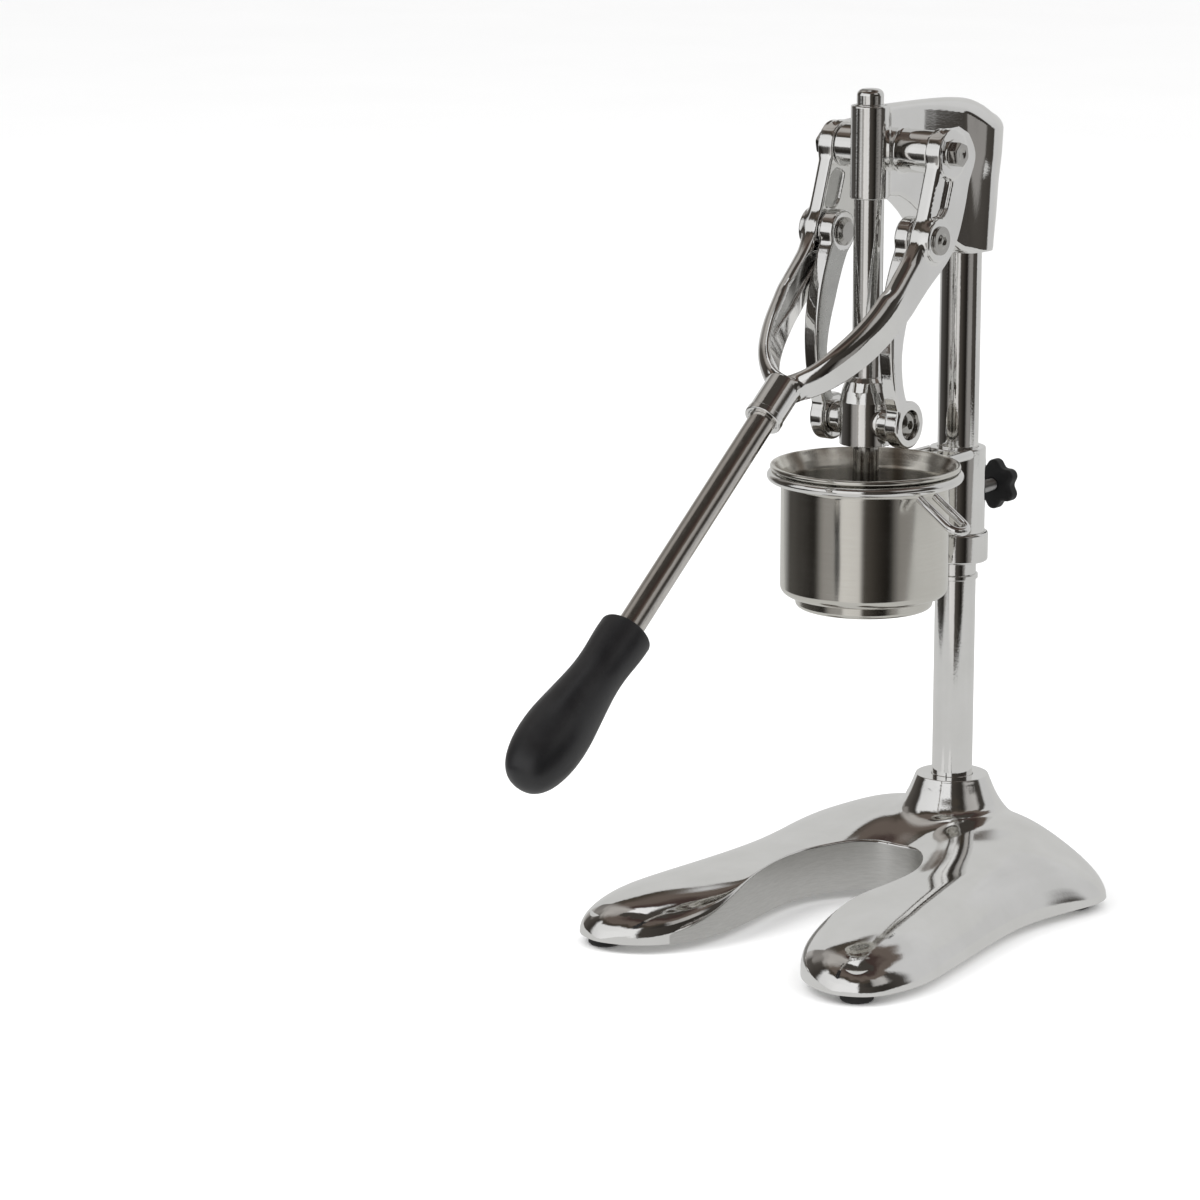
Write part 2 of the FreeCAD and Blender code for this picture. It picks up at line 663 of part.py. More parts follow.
def link(label, side):
    b = new_body(label)
    off = link_in if side > 0 else -link_out
    # bowed band between the eyes, through a circle arc
    dy, dz = low_z.v - mid_z.v, 0
    p0 = (mid_y.v, mid_z.v)
    p2 = (rod_y.v, low_z.v)
    pm = ((p0[0] + p2[0]) / 2 - link_bow.v, (p0[1] + p2[1]) / 2)
    ax, ay, bx_, by_, cx_, cy_ = p0[0], p0[1], pm[0], pm[1], p2[0], p2[1]
    d = 2 * (ax * (by_ - cy_) + bx_ * (cy_ - ay) + cx_ * (ay - by_))
    ux = ((ax ** 2 + ay ** 2) * (by_ - cy_) + (bx_ ** 2 + by_ ** 2) * (cy_ - ay)
          + (cx_ ** 2 + cy_ ** 2) * (ay - by_)) / d
    uy = ((ax ** 2 + ay ** 2) * (cx_ - bx_) + (bx_ ** 2 + by_ ** 2) * (ax - cx_)
          + (cx_ ** 2 + cy_ ** 2) * (bx_ - ax)) / d
    rad = math.hypot(ax - ux, ay - uy)
    a0 = math.degrees(math.atan2(ay - uy, ax - ux)) % 360
    a1 = math.degrees(math.atan2(cy_ - uy, cx_ - ux)) % 360
    half = link_w / 2
    ring_out = arc(ux, uy, half + rad, a0, a1, 16)
    # the back edge: broad under the upper eye, slim above the lower one
    ring_in = []
    for i in range(17):
        t = 1 - i / 16
        back = 0.0
        for (t0, w0), (t1, w1) in zip(BACK, BACK[1:]):
            if t0 <= t <= t1:
                back = w0 + (w1 - w0) * (t - t0) / (t1 - t0)
        a = math.radians(a0 + (a1 - a0) * t)
        ring_in.append((ux + (rad - half * (back / 7.0)) * round(math.cos(a), 6),
                        uy + (rad - half * (back / 7.0)) * round(math.sin(a), 6)))
    s = new_sketch(b, "YZ_Plane", off)
    polygon(s, ring_out + ring_in)
    pad(b, s, link_out - link_in)
    s = new_sketch(b, "YZ_Plane", off)
    circle(s, mid_y, mid_z, eye_up)
    pad(b, s, link_out - link_in)
    s = new_sketch(b, "YZ_Plane", off)
    circle(s, rod_y, low_z, eye_low)
    pad(b, s, link_out - link_in)
    s = new_sketch(b, "YZ_Plane", off)
    circle(s, mid_y, mid_z, 4.0 + pin_gap)
    cut(b, s, link_out - link_in, back=True)
    s = new_sketch(b, "YZ_Plane", off)
    circle(s, rod_y, low_z, 4.0)
    cut(b, s, link_out - link_in, back=True)
    # recess of the bolt head in the outer face
    s = new_sketch(b, "YZ_Plane", link_out * side)
    circle(s, rod_y, low_z, 9.0)
    cut(b, s, 4.0, back=(side < 0))
    at(b)
    keep(b)


link("link_right", 1)
link("link_left", -1)
lo = link_out.v
for label, side in (("right_link_bolt", 1), ("left_link_bolt", -1)):
    turned(label, [(0, 4.2), (5.0, 4.2), (8.7, 3.0), (8.7, 0.0), (4.0, 0.0), (4.0, -6.0), (0, -6.0)],
           side * (lo - 4.0), rod_y, low_z, TO_X if side > 0 else TO_MX)

# ------------------------------------------------------------ rod, crosshead
turned("plunger_rod", [(0, disc_z + 3), (rod_low_r, disc_z + 3), (rod_low_r, step_z),
                       (rod_r, step_z), (rod_r, boss_top + 0.6), (0, boss_top + 0.6)], 0, rod_y, 0)
turned("rod_cap", [(0, boss_top + 0.6)] +
       [(8.05, boss_top + 0.6), (8.05, boss_top + 1.7)] +
       arc(0, boss_top + 1.7, 8.05, 0, 78, 7)[1:] + [(0, boss_top + 9.75)], 0, rod_y, 0)
b = new_body("crosshead")
s = new_sketch(b, "XZ_Plane")
polygon(s, [(0, cross_bot), (cross_r - 1.5, cross_bot), (cross_r, cross_bot + 1.5),
            (cross_r, cross_top - 15), (cross_r - 1.2, cross_top - 8), (cross_r - 3.2, cross_top - 2.5),
            (cross_r - 5.5, cross_top), (0, cross_top)])
turn(b, s)
s = new_sketch(b, "YZ_Plane")
circle(s, 0, low_z, 10.0)
pad(b, s, cross_x * 2, both=True)
s = new_sketch(b, "XY_Plane", cross_bot - 5)
circle(s, 0, 0, rod_low_r)
cut(b, s, 60, back=True)
s = new_sketch(b, "XY_Plane", step_z)
circle(s, 0, 0, rod_r)
cut(b, s, 60, back=True)
s = new_sketch(b, "XZ_Plane")
circle(s, 0, low_z + 2, 2.5)
cut(b, s, 30)
for sgn in (1, -1):
    s = new_sketch(b, "YZ_Plane", cross_x * sgn)
    circle(s, 0, low_z, 4.0)
    cut(b, s, 8.0, back=(sgn < 0))
at(b, 0, rod_y, 0)
keep(b)
turned("crosshead_screw", [(0, 0), (2.5, 0), (2.5, 6.0), (1.4, 6.0), (1.4, 4.0), (0, 4.0)],
       0, rod_y + rod_r, low_z + 2, TO_Y)

turned("press_disc", [(3.1, disc_z + 3), (3.1, disc_z + 2.0), (6.2, disc_z), (disc_r - 0.8, disc_z),
                      (disc_r, disc_z + 0.8), (disc_r, disc_z + 6.0), (disc_r - 2.4, disc_z + 6.0),
                      (disc_r - 3.0, disc_z + 3.2), (17, disc_z + 3.6), (13.5, disc_z + 6),
                      (12.0, disc_z + 16), (11.2, disc_z + 17), (rod_low_r, disc_z + 17),
                      (rod_low_r, disc_z + 3)], 0, rod_y, 0)
turned("disc_screw", [(0, disc_z + 0.2), (5.55, disc_z + 0.2), (3.04, disc_z + 2.0), (3.04, disc_z + 3.0),
                      (0, disc_z + 3.0)], 0, rod_y, 0)

# -------------------------------------------------------------------- holder
b = turned("holder_sleeve", [(sleeve_in, sleeve_bot), (sleeve_r, sleeve_bot), (sleeve_r, sleeve_top - 0.8),
                             (sleeve_r - 0.8, sleeve_top), (sleeve_in, sleeve_top)])
s = new_sketch(b, "XZ_Plane")
circle(s, 0, knob_z, stem_r + pin_gap)
cut(b, s, 30)
turned("holder_collar", [(sleeve_in, collar_bot), (collar_r - 1.0, collar_bot),
                         (collar_r, collar_bot + 1.0), (collar_r, sleeve_bot - 1.0),
                         (collar_r - 1.0, sleeve_bot), (sleeve_in, sleeve_bot)])

ring = Part.makeTorus(ring_big.v, ring_small.v, V(0, rod_y.v, ring_z.v), V(0, 0, 1))
ax_ = 14.5
y_ring = rod_y.v + math.sqrt(ring_big.v ** 2 - ax_ ** 2)
arms_ = []
for sgn in (1, -1):
    arms_.append(cyl(ring_small.v, -y_ring - 9.6, (sgn * ax_, y_ring, ring_z.v), (0, 1, 0)))
frame_ring = ring.fuse(arms_)
frame_ring = frame_ring.cut(cyl(sleeve_r.v, 40, (0, 0, ring_z.v - 20), (0, 0, 1)))
if len(frame_ring.Solids) > 1:
    frame_ring = max(frame_ring.Solids, key=lambda q: q.Volume)
solid_piece("support_ring", frame_ring)

# hairpin loop of thin wire under the ring, on the +X side
qa = math.radians(73.0)
out_dir = V(math.sin(qa), -math.cos(qa), 0)
tan_dir = V(math.cos(qa), math.sin(qa), 0)
start = V(0, rod_y.v, ring_z.v) + out_dir * (ring_big.v + 2.4) + V(0, 0, -4.6)
leg = (out_dir * 34.0 + V(0, 0, -16.0))
leg_u = V(leg.x, leg.y, leg.z).normalize()
hw = 6.0
p1 = start + tan_dir * hw
p2 = p1 + leg_u * 29.3
p3 = start + leg_u * (29.3 + hw)
p4 = start - tan_dir * hw + leg_u * 29.3
p5 = start - tan_dir * hw
path = Part.Wire([Part.makeLine(p1, p2), Part.Arc(p2, p3, p4).toShape(), Part.makeLine(p4, p5)])
prof = Part.Wire([Part.makeCircle(loop_w.v, p1, leg_u)])
loop = path.makePipeShell([prof], True, False)
loop = loop.cut(ring)
if len(loop.Solids) > 1:
    loop = max(loop.Solids, key=lambda q: q.Volume)
solid_piece("rest_loop", loop)

# clamp screw and its six-lobed knob
turned("knob_screw", [(0, 12.9), (3.0, 12.9), (stem_r, 14.0), (stem_r, knob_at + 6.5),
                      (0, knob_at + 6.5)], 0, 0, knob_z, TO_Y)
b = new_body("star_knob")
s = new_sketch(b, "XY_Plane")
circle(s, 0, 0, knob_r - 3.2)
pad(b, s, knob_t)
s = new_sketch(b, "XY_Plane")
circle(s, 0, knob_r - 4.6, 4.6)
lobe = pad(b, s, knob_t)
doc.recompute()
pat = b.newObject("PartDesign::PolarPattern", "star_knob_pattern")
pat.Originals = [lobe]
pat.Axis = (s, ["N_Axis"])
pat.Angle = 360
pat.Occurrences = 6
b.Tip = pat
doc.recompute()
s = new_sketch(b, "XY_Plane")
circle(s, 0, 0, stem_r)
cut(b, s, 6.5, back=True)
at(b, 0, knob_at, knob_z, TO_Y)
keep(b)

# ----------------------------------------------------------------------- cup
cup_in = cup_r - cup_wall
cup_pts = [(neck_r - 1.6, cup_bot - 4.4), (neck_r, cup_bot - 4.4), (neck_r, cup_bot)]
cup_pts += arc(cup_r - cup_corner, cup_bot + cup_corner, cup_corner, -90, 0, 7)
cup_pts += [(cup_r, cup_top - 11.5), (cup_r + 1.9, cup_top - 6.5), (cup_r + 4.3, cup_top - 2.9)]
cup_pts += [(lip_r - 1.5, cup_top - 3.1), (lip_r - 0.45, cup_top - 2.7), (lip_r, cup_top - 1.6),
            (lip_r - 0.45, cup_top - 0.5), (lip_r - 1.5, cup_top), (lip_r - 2.5, cup_top - 0.2),
            (cup_r + 3.3, cup_top - 1.7), (cup_in + 2.0, cup_top - 6.1), (cup_in, cup_top - 11.2)]
cup_pts += arc(cup_r - cup_corner, cup_bot + cup_corner, cup_corner - cup_wall, 0, -90, 7)
cup_pts += [(neck_r - 1.6, cup_bot + cup_wall)]
turned("cup", cup_pts, 0, rod_y, 0)

turned("die_ring", [(34.5, ringo_bot), (ringo_r - 2.5, ringo_bot), (ringo_r - 0.8, ringo_bot + 0.8),
                    (ringo_r, ringo_bot + 2.5), (ringo_r, cup_bot - 0.4), (neck_r + 0.3, cup_bot - 0.4),
                    (neck_r + 0.3, ringo_bot + 1.2), (34.5, ringo_bot + 1.2)], 0, rod_y, 0)

b = new_body("die_plate")
s = new_sketch(b, "XY_Plane", ringo_bot + 1.4)
circle(s, 0, 0, neck_r - 0.2)
pad(b, s, 1.5)
s = new_sketch(b, "XY_Plane", ringo_bot + 1.4)
for i in range(-3, 4):
    for j in range(-3, 4):
        cx_, cy_ = i * 12.0, j * 12.0
        if math.hypot(abs(cx_) + 4.5, abs(cy_) + 4.5) <= 34.0:
            polygon(s, [(cx_ - 4.5, cy_ - 4.5), (cx_ + 4.5, cy_ - 4.5), (cx_ + 4.5, cy_ + 4.5),
                        (cx_ - 4.5, cy_ + 4.5)])
cut(b, s, 10, back=True)
at(b, 0, rod_y, 0)
keep(b)

# ------------------------------------------------------- origin under middle
doc.recompute()
lo_y, hi_y = 1e9, -1e9
for o in MADE:
    bb = o.Shape.optimalBoundingBox(True, False)
    lo_y, hi_y = min(lo_y, bb.YMin), max(hi_y, bb.YMax)
sheet.set("B1", "%.3f" % (-(lo_y + hi_y) / 2))
doc.recompute()

bad = [o.Label for o in doc.Objects if "Invalid" in o.State or "Error" in o.State]
for o in MADE:
    if o.Shape.isNull() or not o.Shape.isValid() or not o.Shape.Solids:
        bad.append(o.Label + " shape")
if bad:
    raise RuntimeError("failed: " + ", ".join(bad))

os.makedirs("parts", exist_ok=True)
for o in MADE:
    o.Shape.exportStep(os.path.join("parts", o.Label + ".step"))
    bb = o.Shape.BoundBox
    print("%-18s solids %d vol %10.1f  X %.1f..%.1f Y %.1f..%.1f Z %.1f..%.1f"
          % (o.Label, len(o.Shape.Solids), o.Shape.Volume, bb.XMin, bb.XMax, bb.YMin, bb.YMax,
             bb.ZMin, bb.ZMax))
print("shift", sheet.get("B1"), "pieces", len(MADE))
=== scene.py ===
import math
import bpy
import numpy as np
from mathutils import Matrix, Vector


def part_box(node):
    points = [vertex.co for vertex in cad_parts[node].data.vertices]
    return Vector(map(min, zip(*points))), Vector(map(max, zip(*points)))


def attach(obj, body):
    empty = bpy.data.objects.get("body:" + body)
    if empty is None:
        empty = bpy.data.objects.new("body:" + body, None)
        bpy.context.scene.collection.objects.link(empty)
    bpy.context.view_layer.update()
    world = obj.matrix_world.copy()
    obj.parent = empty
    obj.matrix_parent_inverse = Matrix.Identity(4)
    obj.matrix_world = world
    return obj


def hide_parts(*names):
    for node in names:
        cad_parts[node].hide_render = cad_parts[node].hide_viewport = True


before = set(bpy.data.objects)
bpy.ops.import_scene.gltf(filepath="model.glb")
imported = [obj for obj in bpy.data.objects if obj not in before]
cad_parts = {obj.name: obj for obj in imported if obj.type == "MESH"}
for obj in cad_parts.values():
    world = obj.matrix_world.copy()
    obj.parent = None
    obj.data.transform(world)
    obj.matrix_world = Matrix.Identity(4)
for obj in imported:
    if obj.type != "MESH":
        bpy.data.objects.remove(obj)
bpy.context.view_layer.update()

# Lengths below are millimetres in a frame whose Z axis is the column's; the
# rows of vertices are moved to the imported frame, in metres, when a mesh is made.
_lo, _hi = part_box("column_tube")
SHIFT_Y = (_lo.y + _hi.y) / 2 * 1000.0

ROD_Y = -102.4
PIV = (-79.3, 473.1)
MID = (-96.0, 423.5)
LOW_Z = 312.0
SEAT = np.array([0.0, -187.9, 344.8])
_a = math.radians(38.1)
ALONG = np.array([0.0, -math.cos(_a), -math.sin(_a)])
FRONT = np.array([0.0, -math.sin(_a), math.cos(_a)])

# =====================================================================
# materials
# =====================================================================


def new_material(name):
    m = bpy.data.materials.new(name)
    m.use_nodes = True
    nt = m.node_tree
    nt.nodes.clear()
    out = nt.nodes.new("ShaderNodeOutputMaterial")
    b = nt.nodes.new("ShaderNodeBsdfPrincipled")
    nt.links.new(b.outputs["BSDF"], out.inputs["Surface"])
    return m, nt, b


def coords(nt, scale=(1, 1, 1)):
    tc = nt.nodes.new("ShaderNodeTexCoord")
    mp = nt.nodes.new("ShaderNodeMapping")
    mp.inputs["Scale"].default_value = scale
    nt.links.new(tc.outputs["Object"], mp.inputs["Vector"])
    return mp.outputs["Vector"]


def noise(nt, vec, scale, detail=3.0, rough=0.55):
    n = nt.nodes.new("ShaderNodeTexNoise")
    n.inputs["Scale"].default_value = scale
    n.inputs["Detail"].default_value = detail
    n.inputs["Roughness"].default_value = rough
    nt.links.new(vec, n.inputs["Vector"])
    return n.outputs["Fac"]


def span(nt, val, a0, a1, b0, b1):
    n = nt.nodes.new("ShaderNodeMapRange")
    n.inputs["From Min"].default_value = a0
    n.inputs["From Max"].default_value = a1
    n.inputs["To Min"].default_value = b0
    n.inputs["To Max"].default_value = b1
    nt.links.new(val, n.inputs["Value"])
    return n.outputs["Result"]


def mix_rgb(nt, fac, c0, c1):
    n = nt.nodes.new("ShaderNodeMix")
    n.data_type = "RGBA"
    n.inputs[6].default_value = (*c0, 1)
    n.inputs[7].default_value = (*c1, 1)
    nt.links.new(fac, n.inputs[0])
    return n.outputs[2]


def math2(nt, op, a, b):
    n = nt.nodes.new("ShaderNodeMath")
    n.operation = op
    for i, v in enumerate((a, b)):
        if isinstance(v, (int, float)):
            n.inputs[i].default_value = v
        else:
            nt.links.new(v, n.inputs[i])
    return n.outputs[0]


def bump(nt, b, height, strength, distance):
    n = nt.nodes.new("ShaderNodeBump")
    n.inputs["Strength"].default_value = strength
    n.inputs["Distance"].default_value = distance
    nt.links.new(height, n.inputs["Height"])
    nt.links.new(n.outputs["Normal"], b.inputs["Normal"])
    return n


def chrome(name, c0, c1, r0, r1, wave=0.0004, fine=0.00002, wave_scale=22.0):
    """Plated metal: faint haze, wiping marks and the slight waviness of polished castings."""
    m, nt, b = new_material(name)
    v = coords(nt)
    haze = noise(nt, v, 26.0, 4.0)
    marks = noise(nt, coords(nt, (9, 9, 60)), 14.0, 3.0)
    b.inputs["Metallic"].default_value = 1.0
    nt.links.new(mix_rgb(nt, span(nt, haze, 0.35, 0.65, 0, 1), c0, c1), b.inputs["Base Color"])
    r = math2(nt, "ADD", span(nt, haze, 0.38, 0.68, r0, r1), span(nt, marks, 0.55, 0.75, 0.0, 0.03))
    nt.links.new(r, b.inputs["Roughness"])
    h = math2(nt, "ADD", math2(nt, "MULTIPLY", noise(nt, v, wave_scale, 1.0), wave),
              math2(nt, "MULTIPLY", noise(nt, v, 900.0, 2.0), fine))
    bump(nt, b, h, 1.0, 1.0)
    return m


def brushed(name, c0, c1, r0, r1, direction, depth=0.00003, lines=1.0):
    """Metal with fine lines: direction is the scale of the noise along X, Y and Z."""
    m, nt, b = new_material(name)
    v = coords(nt, direction)
    streak = noise(nt, v, 22.0 * lines, 5.0, 0.7)
    broad = noise(nt, coords(nt), 18.0, 3.0)
    b.inputs["Metallic"].default_value = 1.0
    nt.links.new(mix_rgb(nt, span(nt, streak, 0.3, 0.7, 0, 1), c0, c1), b.inputs["Base Color"])
    r = math2(nt, "ADD", span(nt, streak, 0.3, 0.7, r0, r1), span(nt, broad, 0.4, 0.7, 0.0, 0.05))
    nt.links.new(r, b.inputs["Roughness"])
    bump(nt, b, math2(nt, "MULTIPLY", streak, depth), 1.0, 1.0)
    return m


def inside_steel_painted_light(name):
    """Inner wall with painted light and shade: broad upright bands of painted reflection, light and brown, standing in
    for the light from the open top.
    """
    m, nt, b = new_material(name)
    streak = noise(nt, coords(nt, (2.6, 2.6, 0.1)), 22.0, 1.0, 0.4)
    fine = noise(nt, coords(nt, (1.5, 1.5, 60)), 22.0, 2.0, 0.5)
    b.inputs["Metallic"].default_value = 0.8
    # painted light and shade: the upright noise bands mix a dark brown and a pale colour into the base colour, as
    # painted reflections of the light from the open top
    nt.links.new(mix_rgb(nt, span(nt, streak, 0.36, 0.62, 0, 1), (0.17, 0.14, 0.11), (0.78, 0.76, 0.70)),
                 b.inputs["Base Color"])
    nt.links.new(span(nt, fine, 0.3, 0.7, 0.17, 0.22), b.inputs["Roughness"])
    bump(nt, b, math2(nt, "MULTIPLY", fine, 0.000002), 1.0, 1.0)
    return m


def plastic(name, c0, c1, r0, r1, grain=0.00004, grain_scale=1400.0, spec=0.5):
    m, nt, b = new_material(name)
    v = coords(nt)
    blotch = noise(nt, v, 35.0, 4.0)
    nt.links.new(mix_rgb(nt, span(nt, blotch, 0.35, 0.65, 0, 1), c0, c1), b.inputs["Base Color"])
    nt.links.new(span(nt, blotch, 0.35, 0.7, r0, r1), b.inputs["Roughness"])
    b.inputs["Specular IOR Level"].default_value = spec
    h = math2(nt, "ADD", math2(nt, "MULTIPLY", noise(nt, v, grain_scale, 2.0), grain),
              math2(nt, "MULTIPLY", noise(nt, v, 60.0, 2.0), grain * 4))
    bump(nt, b, h, 1.0, 1.0)
    return m


M_CAST = chrome("chromed_casting", (0.83, 0.825, 0.81), (0.88, 0.875, 0.865), 0.035, 0.075)
M_CHROME = chrome("chromed_steel", (0.80, 0.795, 0.78), (0.86, 0.855, 0.845), 0.03, 0.07, 0.00008)
M_CUP = brushed("satin_steel_turned", (0.69, 0.675, 0.63), (0.74, 0.725, 0.68), 0.09, 0.125, (1.5, 1.5, 90), 0.000006)
# inner steel of the cup: painted light and shade in its base colour, bands of painted reflection
M_CUP_INSIDE_PAINTED_LIGHT = inside_steel_painted_light("satin_steel_inside_painted_light")
M_SATIN = brushed("chromed_wall_satin", (0.56, 0.555, 0.54), (0.68, 0.675, 0.66), 0.30, 0.40, (5, 5, 40), 0.00006)
M_BOLT = chrome("bolt_steel", (0.40, 0.39, 0.375), (0.52, 0.51, 0.49), 0.07, 0.15, 0.00008)
M_FETTLED = brushed("fettled_cast", (0.50, 0.50, 0.485), (0.62, 0.62, 0.60), 0.20, 0.30, (3, 3, 3), 0.00005, 1.0)
M_TUBE = brushed("handle_steel", (0.60, 0.575, 0.545), (0.72, 0.695, 0.665), 0.09, 0.16, (40, 6, 6))
M_PLAIN = brushed("zinc_steel", (0.46, 0.46, 0.46), (0.58, 0.58, 0.57), 0.25, 0.4, (20, 20, 20))
M_BLACKSCREW = brushed("black_oxide", (0.03, 0.03, 0.03), (0.06, 0.06, 0.06), 0.35, 0.5, (20, 20, 20))
M_GRIP = plastic("grip_plastic", (0.008, 0.008, 0.009), (0.014, 0.014, 0.015), 0.34, 0.44)
M_KNOB = plastic("knob_plastic", (0.006, 0.006, 0.006), (0.010, 0.010, 0.011), 0.42, 0.55, spec=0.3)
M_RUBBER = plastic("foot_rubber", (0.012, 0.012, 0.012), (0.022, 0.021, 0.020), 0.6, 0.8, 0.0001, 700.0, 0.3)

# =====================================================================
# mesh helpers
# =====================================================================


class Build:
    """Collects vertices, faces and normals of one piece."""

    def __init__(self):
        self.v, self.f, self.n, self.c = [], [], [], 0

    def add(self, verts, faces, normals):
        verts, normals = np.asarray(verts, float), np.asarray(normals, float)
        self.v.append(verts)
        self.n.append(normals)
        self.f.extend([tuple(int(i) + self.c for i in q) for q in faces])
        self.c += len(verts)
        return self

    def mirrored(self):
        """Adds the mirror image in the plane X = 0."""
        v, n = np.concatenate(self.v), np.concatenate(self.n)
        k = np.array([-1.0, 1, 1])
        faces = [tuple(reversed(q)) for q in self.f]
        return self.add(v * k, faces, n * k)

    def object(self, name, body, slot, material, *nodes, second=None):
        """second: another material, and a function of face centres and normals that picks its faces."""
        v, n = np.concatenate(self.v), np.concatenate(self.n)
        pick = None
        if second:
            cen = np.array([v[list(q)].mean(0) for q in self.f])
            nor = np.array([n[list(q)].sum(0) for q in self.f])
            nor /= np.maximum(np.linalg.norm(nor, axis=1), 1e-12)[:, None]
            pick = second[1](cen, nor)
        v = (v + np.array([0, SHIFT_Y, 0])) / 1000.0
        me = bpy.data.meshes.new(name)
        me.from_pydata(v.tolist(), [], self.f)
        me.polygons.foreach_set("use_smooth", [True] * len(me.polygons))
        me.update()
        ln = np.linalg.norm(n, axis=1)
        n[ln < 1e-9] = (0, 0, 1)
        n /= np.maximum(np.linalg.norm(n, axis=1), 1e-12)[:, None]
        me.normals_split_custom_set_from_vertices(n.tolist())
        me.materials.append(material)
        if second:
            me.materials.append(second[0])
            me.polygons.foreach_set("material_index", [int(k) for k in pick])
        o = bpy.data.objects.new(name, me)
        bpy.context.scene.collection.objects.link(o)
        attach(o, body)
        if nodes:
            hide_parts(*nodes)
        return o


def rounded(pts, closed=True, steps=6):
    """Outline of straight runs with filleted corners: pts are (a, b, radius).
    Returns points and normals, a point at a sharp corner twice."""
    n = len(pts)
    P, N = [], []
    for i in range(n):
        p = np.array(pts[i][:2], float)
        r = pts[i][2] if len(pts[i]) > 2 else 0.0
        if not closed and i in (0, n - 1):
            q = np.array(pts[1 if i == 0 else n - 2][:2], float)
            d = (q - p) if i == 0 else (p - q)
            d = d / (np.linalg.norm(d) + 1e-12)
            P.append(p)
            N.append(np.array([d[1], -d[0]]))
            continue
        a = np.array(pts[i - 1][:2], float)
        b = np.array(pts[(i + 1) % n][:2], float)
        d0, d1 = p - a, b - p
        l0, l1 = np.linalg.norm(d0), np.linalg.norm(d1)
        d0, d1 = d0 / l0, d1 / l1
        n0, n1 = np.array([d0[1], -d0[0]]), np.array([d1[1], -d1[0]])
        cosang = float(np.clip(d0 @ d1, -1, 1))
        ang = math.acos(cosang)
        if r <= 0 or ang < 1e-3:
            if ang < 1e-3:
                P.append(p)
                N.append(n0)
            else:
                P += [p, p]
                N += [n0, n1]
            continue
        t = min(r * math.tan(ang / 2), 0.48 * l0, 0.48 * l1)
        rr = t / math.tan(ang / 2)
        side = 1.0 if d0[0] * d1[1] - d0[1] * d1[0] > 0 else -1.0
        c = p - d0 * t - n0 * rr * side
        k = max(2, int(steps * ang / (math.pi / 2)) + 1)
        for j in range(k + 1):
            th = ang * j / k * side
            cs, sn = math.cos(th), math.sin(th)
            nn = np.array([n0[0] * cs - n0[1] * sn, n0[0] * sn + n0[1] * cs])
            P.append(c + nn * rr * side)
            N.append(nn)
    return np.array(P), np.array(N)


def lathe(pts, segs=96, closed=True, steps=6):
    """Turned solid about Z. pts run so that the outside is on the right hand:
    up along the outer wall. Each is (radius, height, fillet radius)."""
    P, N = rounded(pts, closed, steps)
    m = len(P)
    th = np.arange(segs) * 2 * math.pi / segs
    cs, sn = np.cos(th), np.sin(th)
    V = np.zeros((segs, m, 3))
    W = np.zeros((segs, m, 3))
    V[:, :, 0], V[:, :, 1], V[:, :, 2] = cs[:, None] * P[:, 0], sn[:, None] * P[:, 0], P[:, 1]
    W[:, :, 0], W[:, :, 1], W[:, :, 2] = cs[:, None] * N[:, 0], sn[:, None] * N[:, 0], N[:, 1]
    F = []
    for i in range(segs):
        j = (i + 1) % segs
        for k in range(m if closed else m - 1):
            l = (k + 1) % m
            if np.hypot(*(P[k] - P[l])) < 1e-7:
                continue
            if P[k, 0] < 1e-7 and P[l, 0] < 1e-7:
                continue
            if P[k, 0] < 1e-7:
                F.append((i * m + k, j * m + l, i * m + l))
            elif P[l, 0] < 1e-7:
                F.append((i * m + k, j * m + k, i * m + l))
            else:
                F.append((i * m + k, j * m + k, j * m + l, i * m + l))
    return V.reshape(-1, 3), F, W.reshape(-1, 3)


def placed(part, origin=(0, 0, 0), z_to=None, x_to=None):
    """The part with its own Z along z_to and its origin at origin."""
    v, f, n = part
    if z_to is None:
        return v + np.array(origin, float), f, n
    z = np.array(z_to, float)
    z = z / np.linalg.norm(z)
    x = np.array(x_to, float) if x_to is not None else (
        np.array([1.0, 0, 0]) if abs(z[0]) < 0.9 else np.array([0, 1.0, 0]))
    x = x - z * (x @ z)
    x = x / np.linalg.norm(x)
    y = np.cross(z, x)
    R = np.stack([x, y, z])           # rows: own axes in the frame
    return v @ R + np.array(origin, float), f, n @ R


# ---- implicit shapes -------------------------------------------------


def smin(a, b, k):
    if k <= 0:
        return np.minimum(a, b)
    h = np.clip(0.5 + 0.5 * (b - a) / k, 0, 1)
    return b * (1 - h) + a * h - k * h * (1 - h)


def smax(a, b, k):
    return -smin(-a, -b, k)


def length2(a, b):
    return np.sqrt(a * a + b * b)


def extrude(d, w, half, r):
    """Solid of outline distance d and half height, its edges rounded by r."""
    qa, qb = d + r, np.abs(w) - half + r
    return np.minimum(np.maximum(qa, qb), 0) + length2(np.maximum(qa, 0), np.maximum(qb, 0)) - r


def sd_cyl(p, axis, centre, radius, half, r=0.8):
    q = [p[i] - centre[i] for i in range(3)]
    o = [i for i in range(3) if i != axis]
    return extrude(length2(q[o[0]], q[o[1]]) - radius, q[axis], half, r)


def sd_cyl_dir(p, origin, direction, radius, l0, l1, r=0.8):
    d = np.array(direction, float)
    q = [p[i] - origin[i] for i in range(3)]
    s = q[0] * d[0] + q[1] * d[1] + q[2] * d[2]
    rad = np.sqrt(np.maximum(q[0] ** 2 + q[1] ** 2 + q[2] ** 2 - s * s, 1e-12))
    return extrude(rad - radius, s - (l0 + l1) / 2, (l1 - l0) / 2, r)


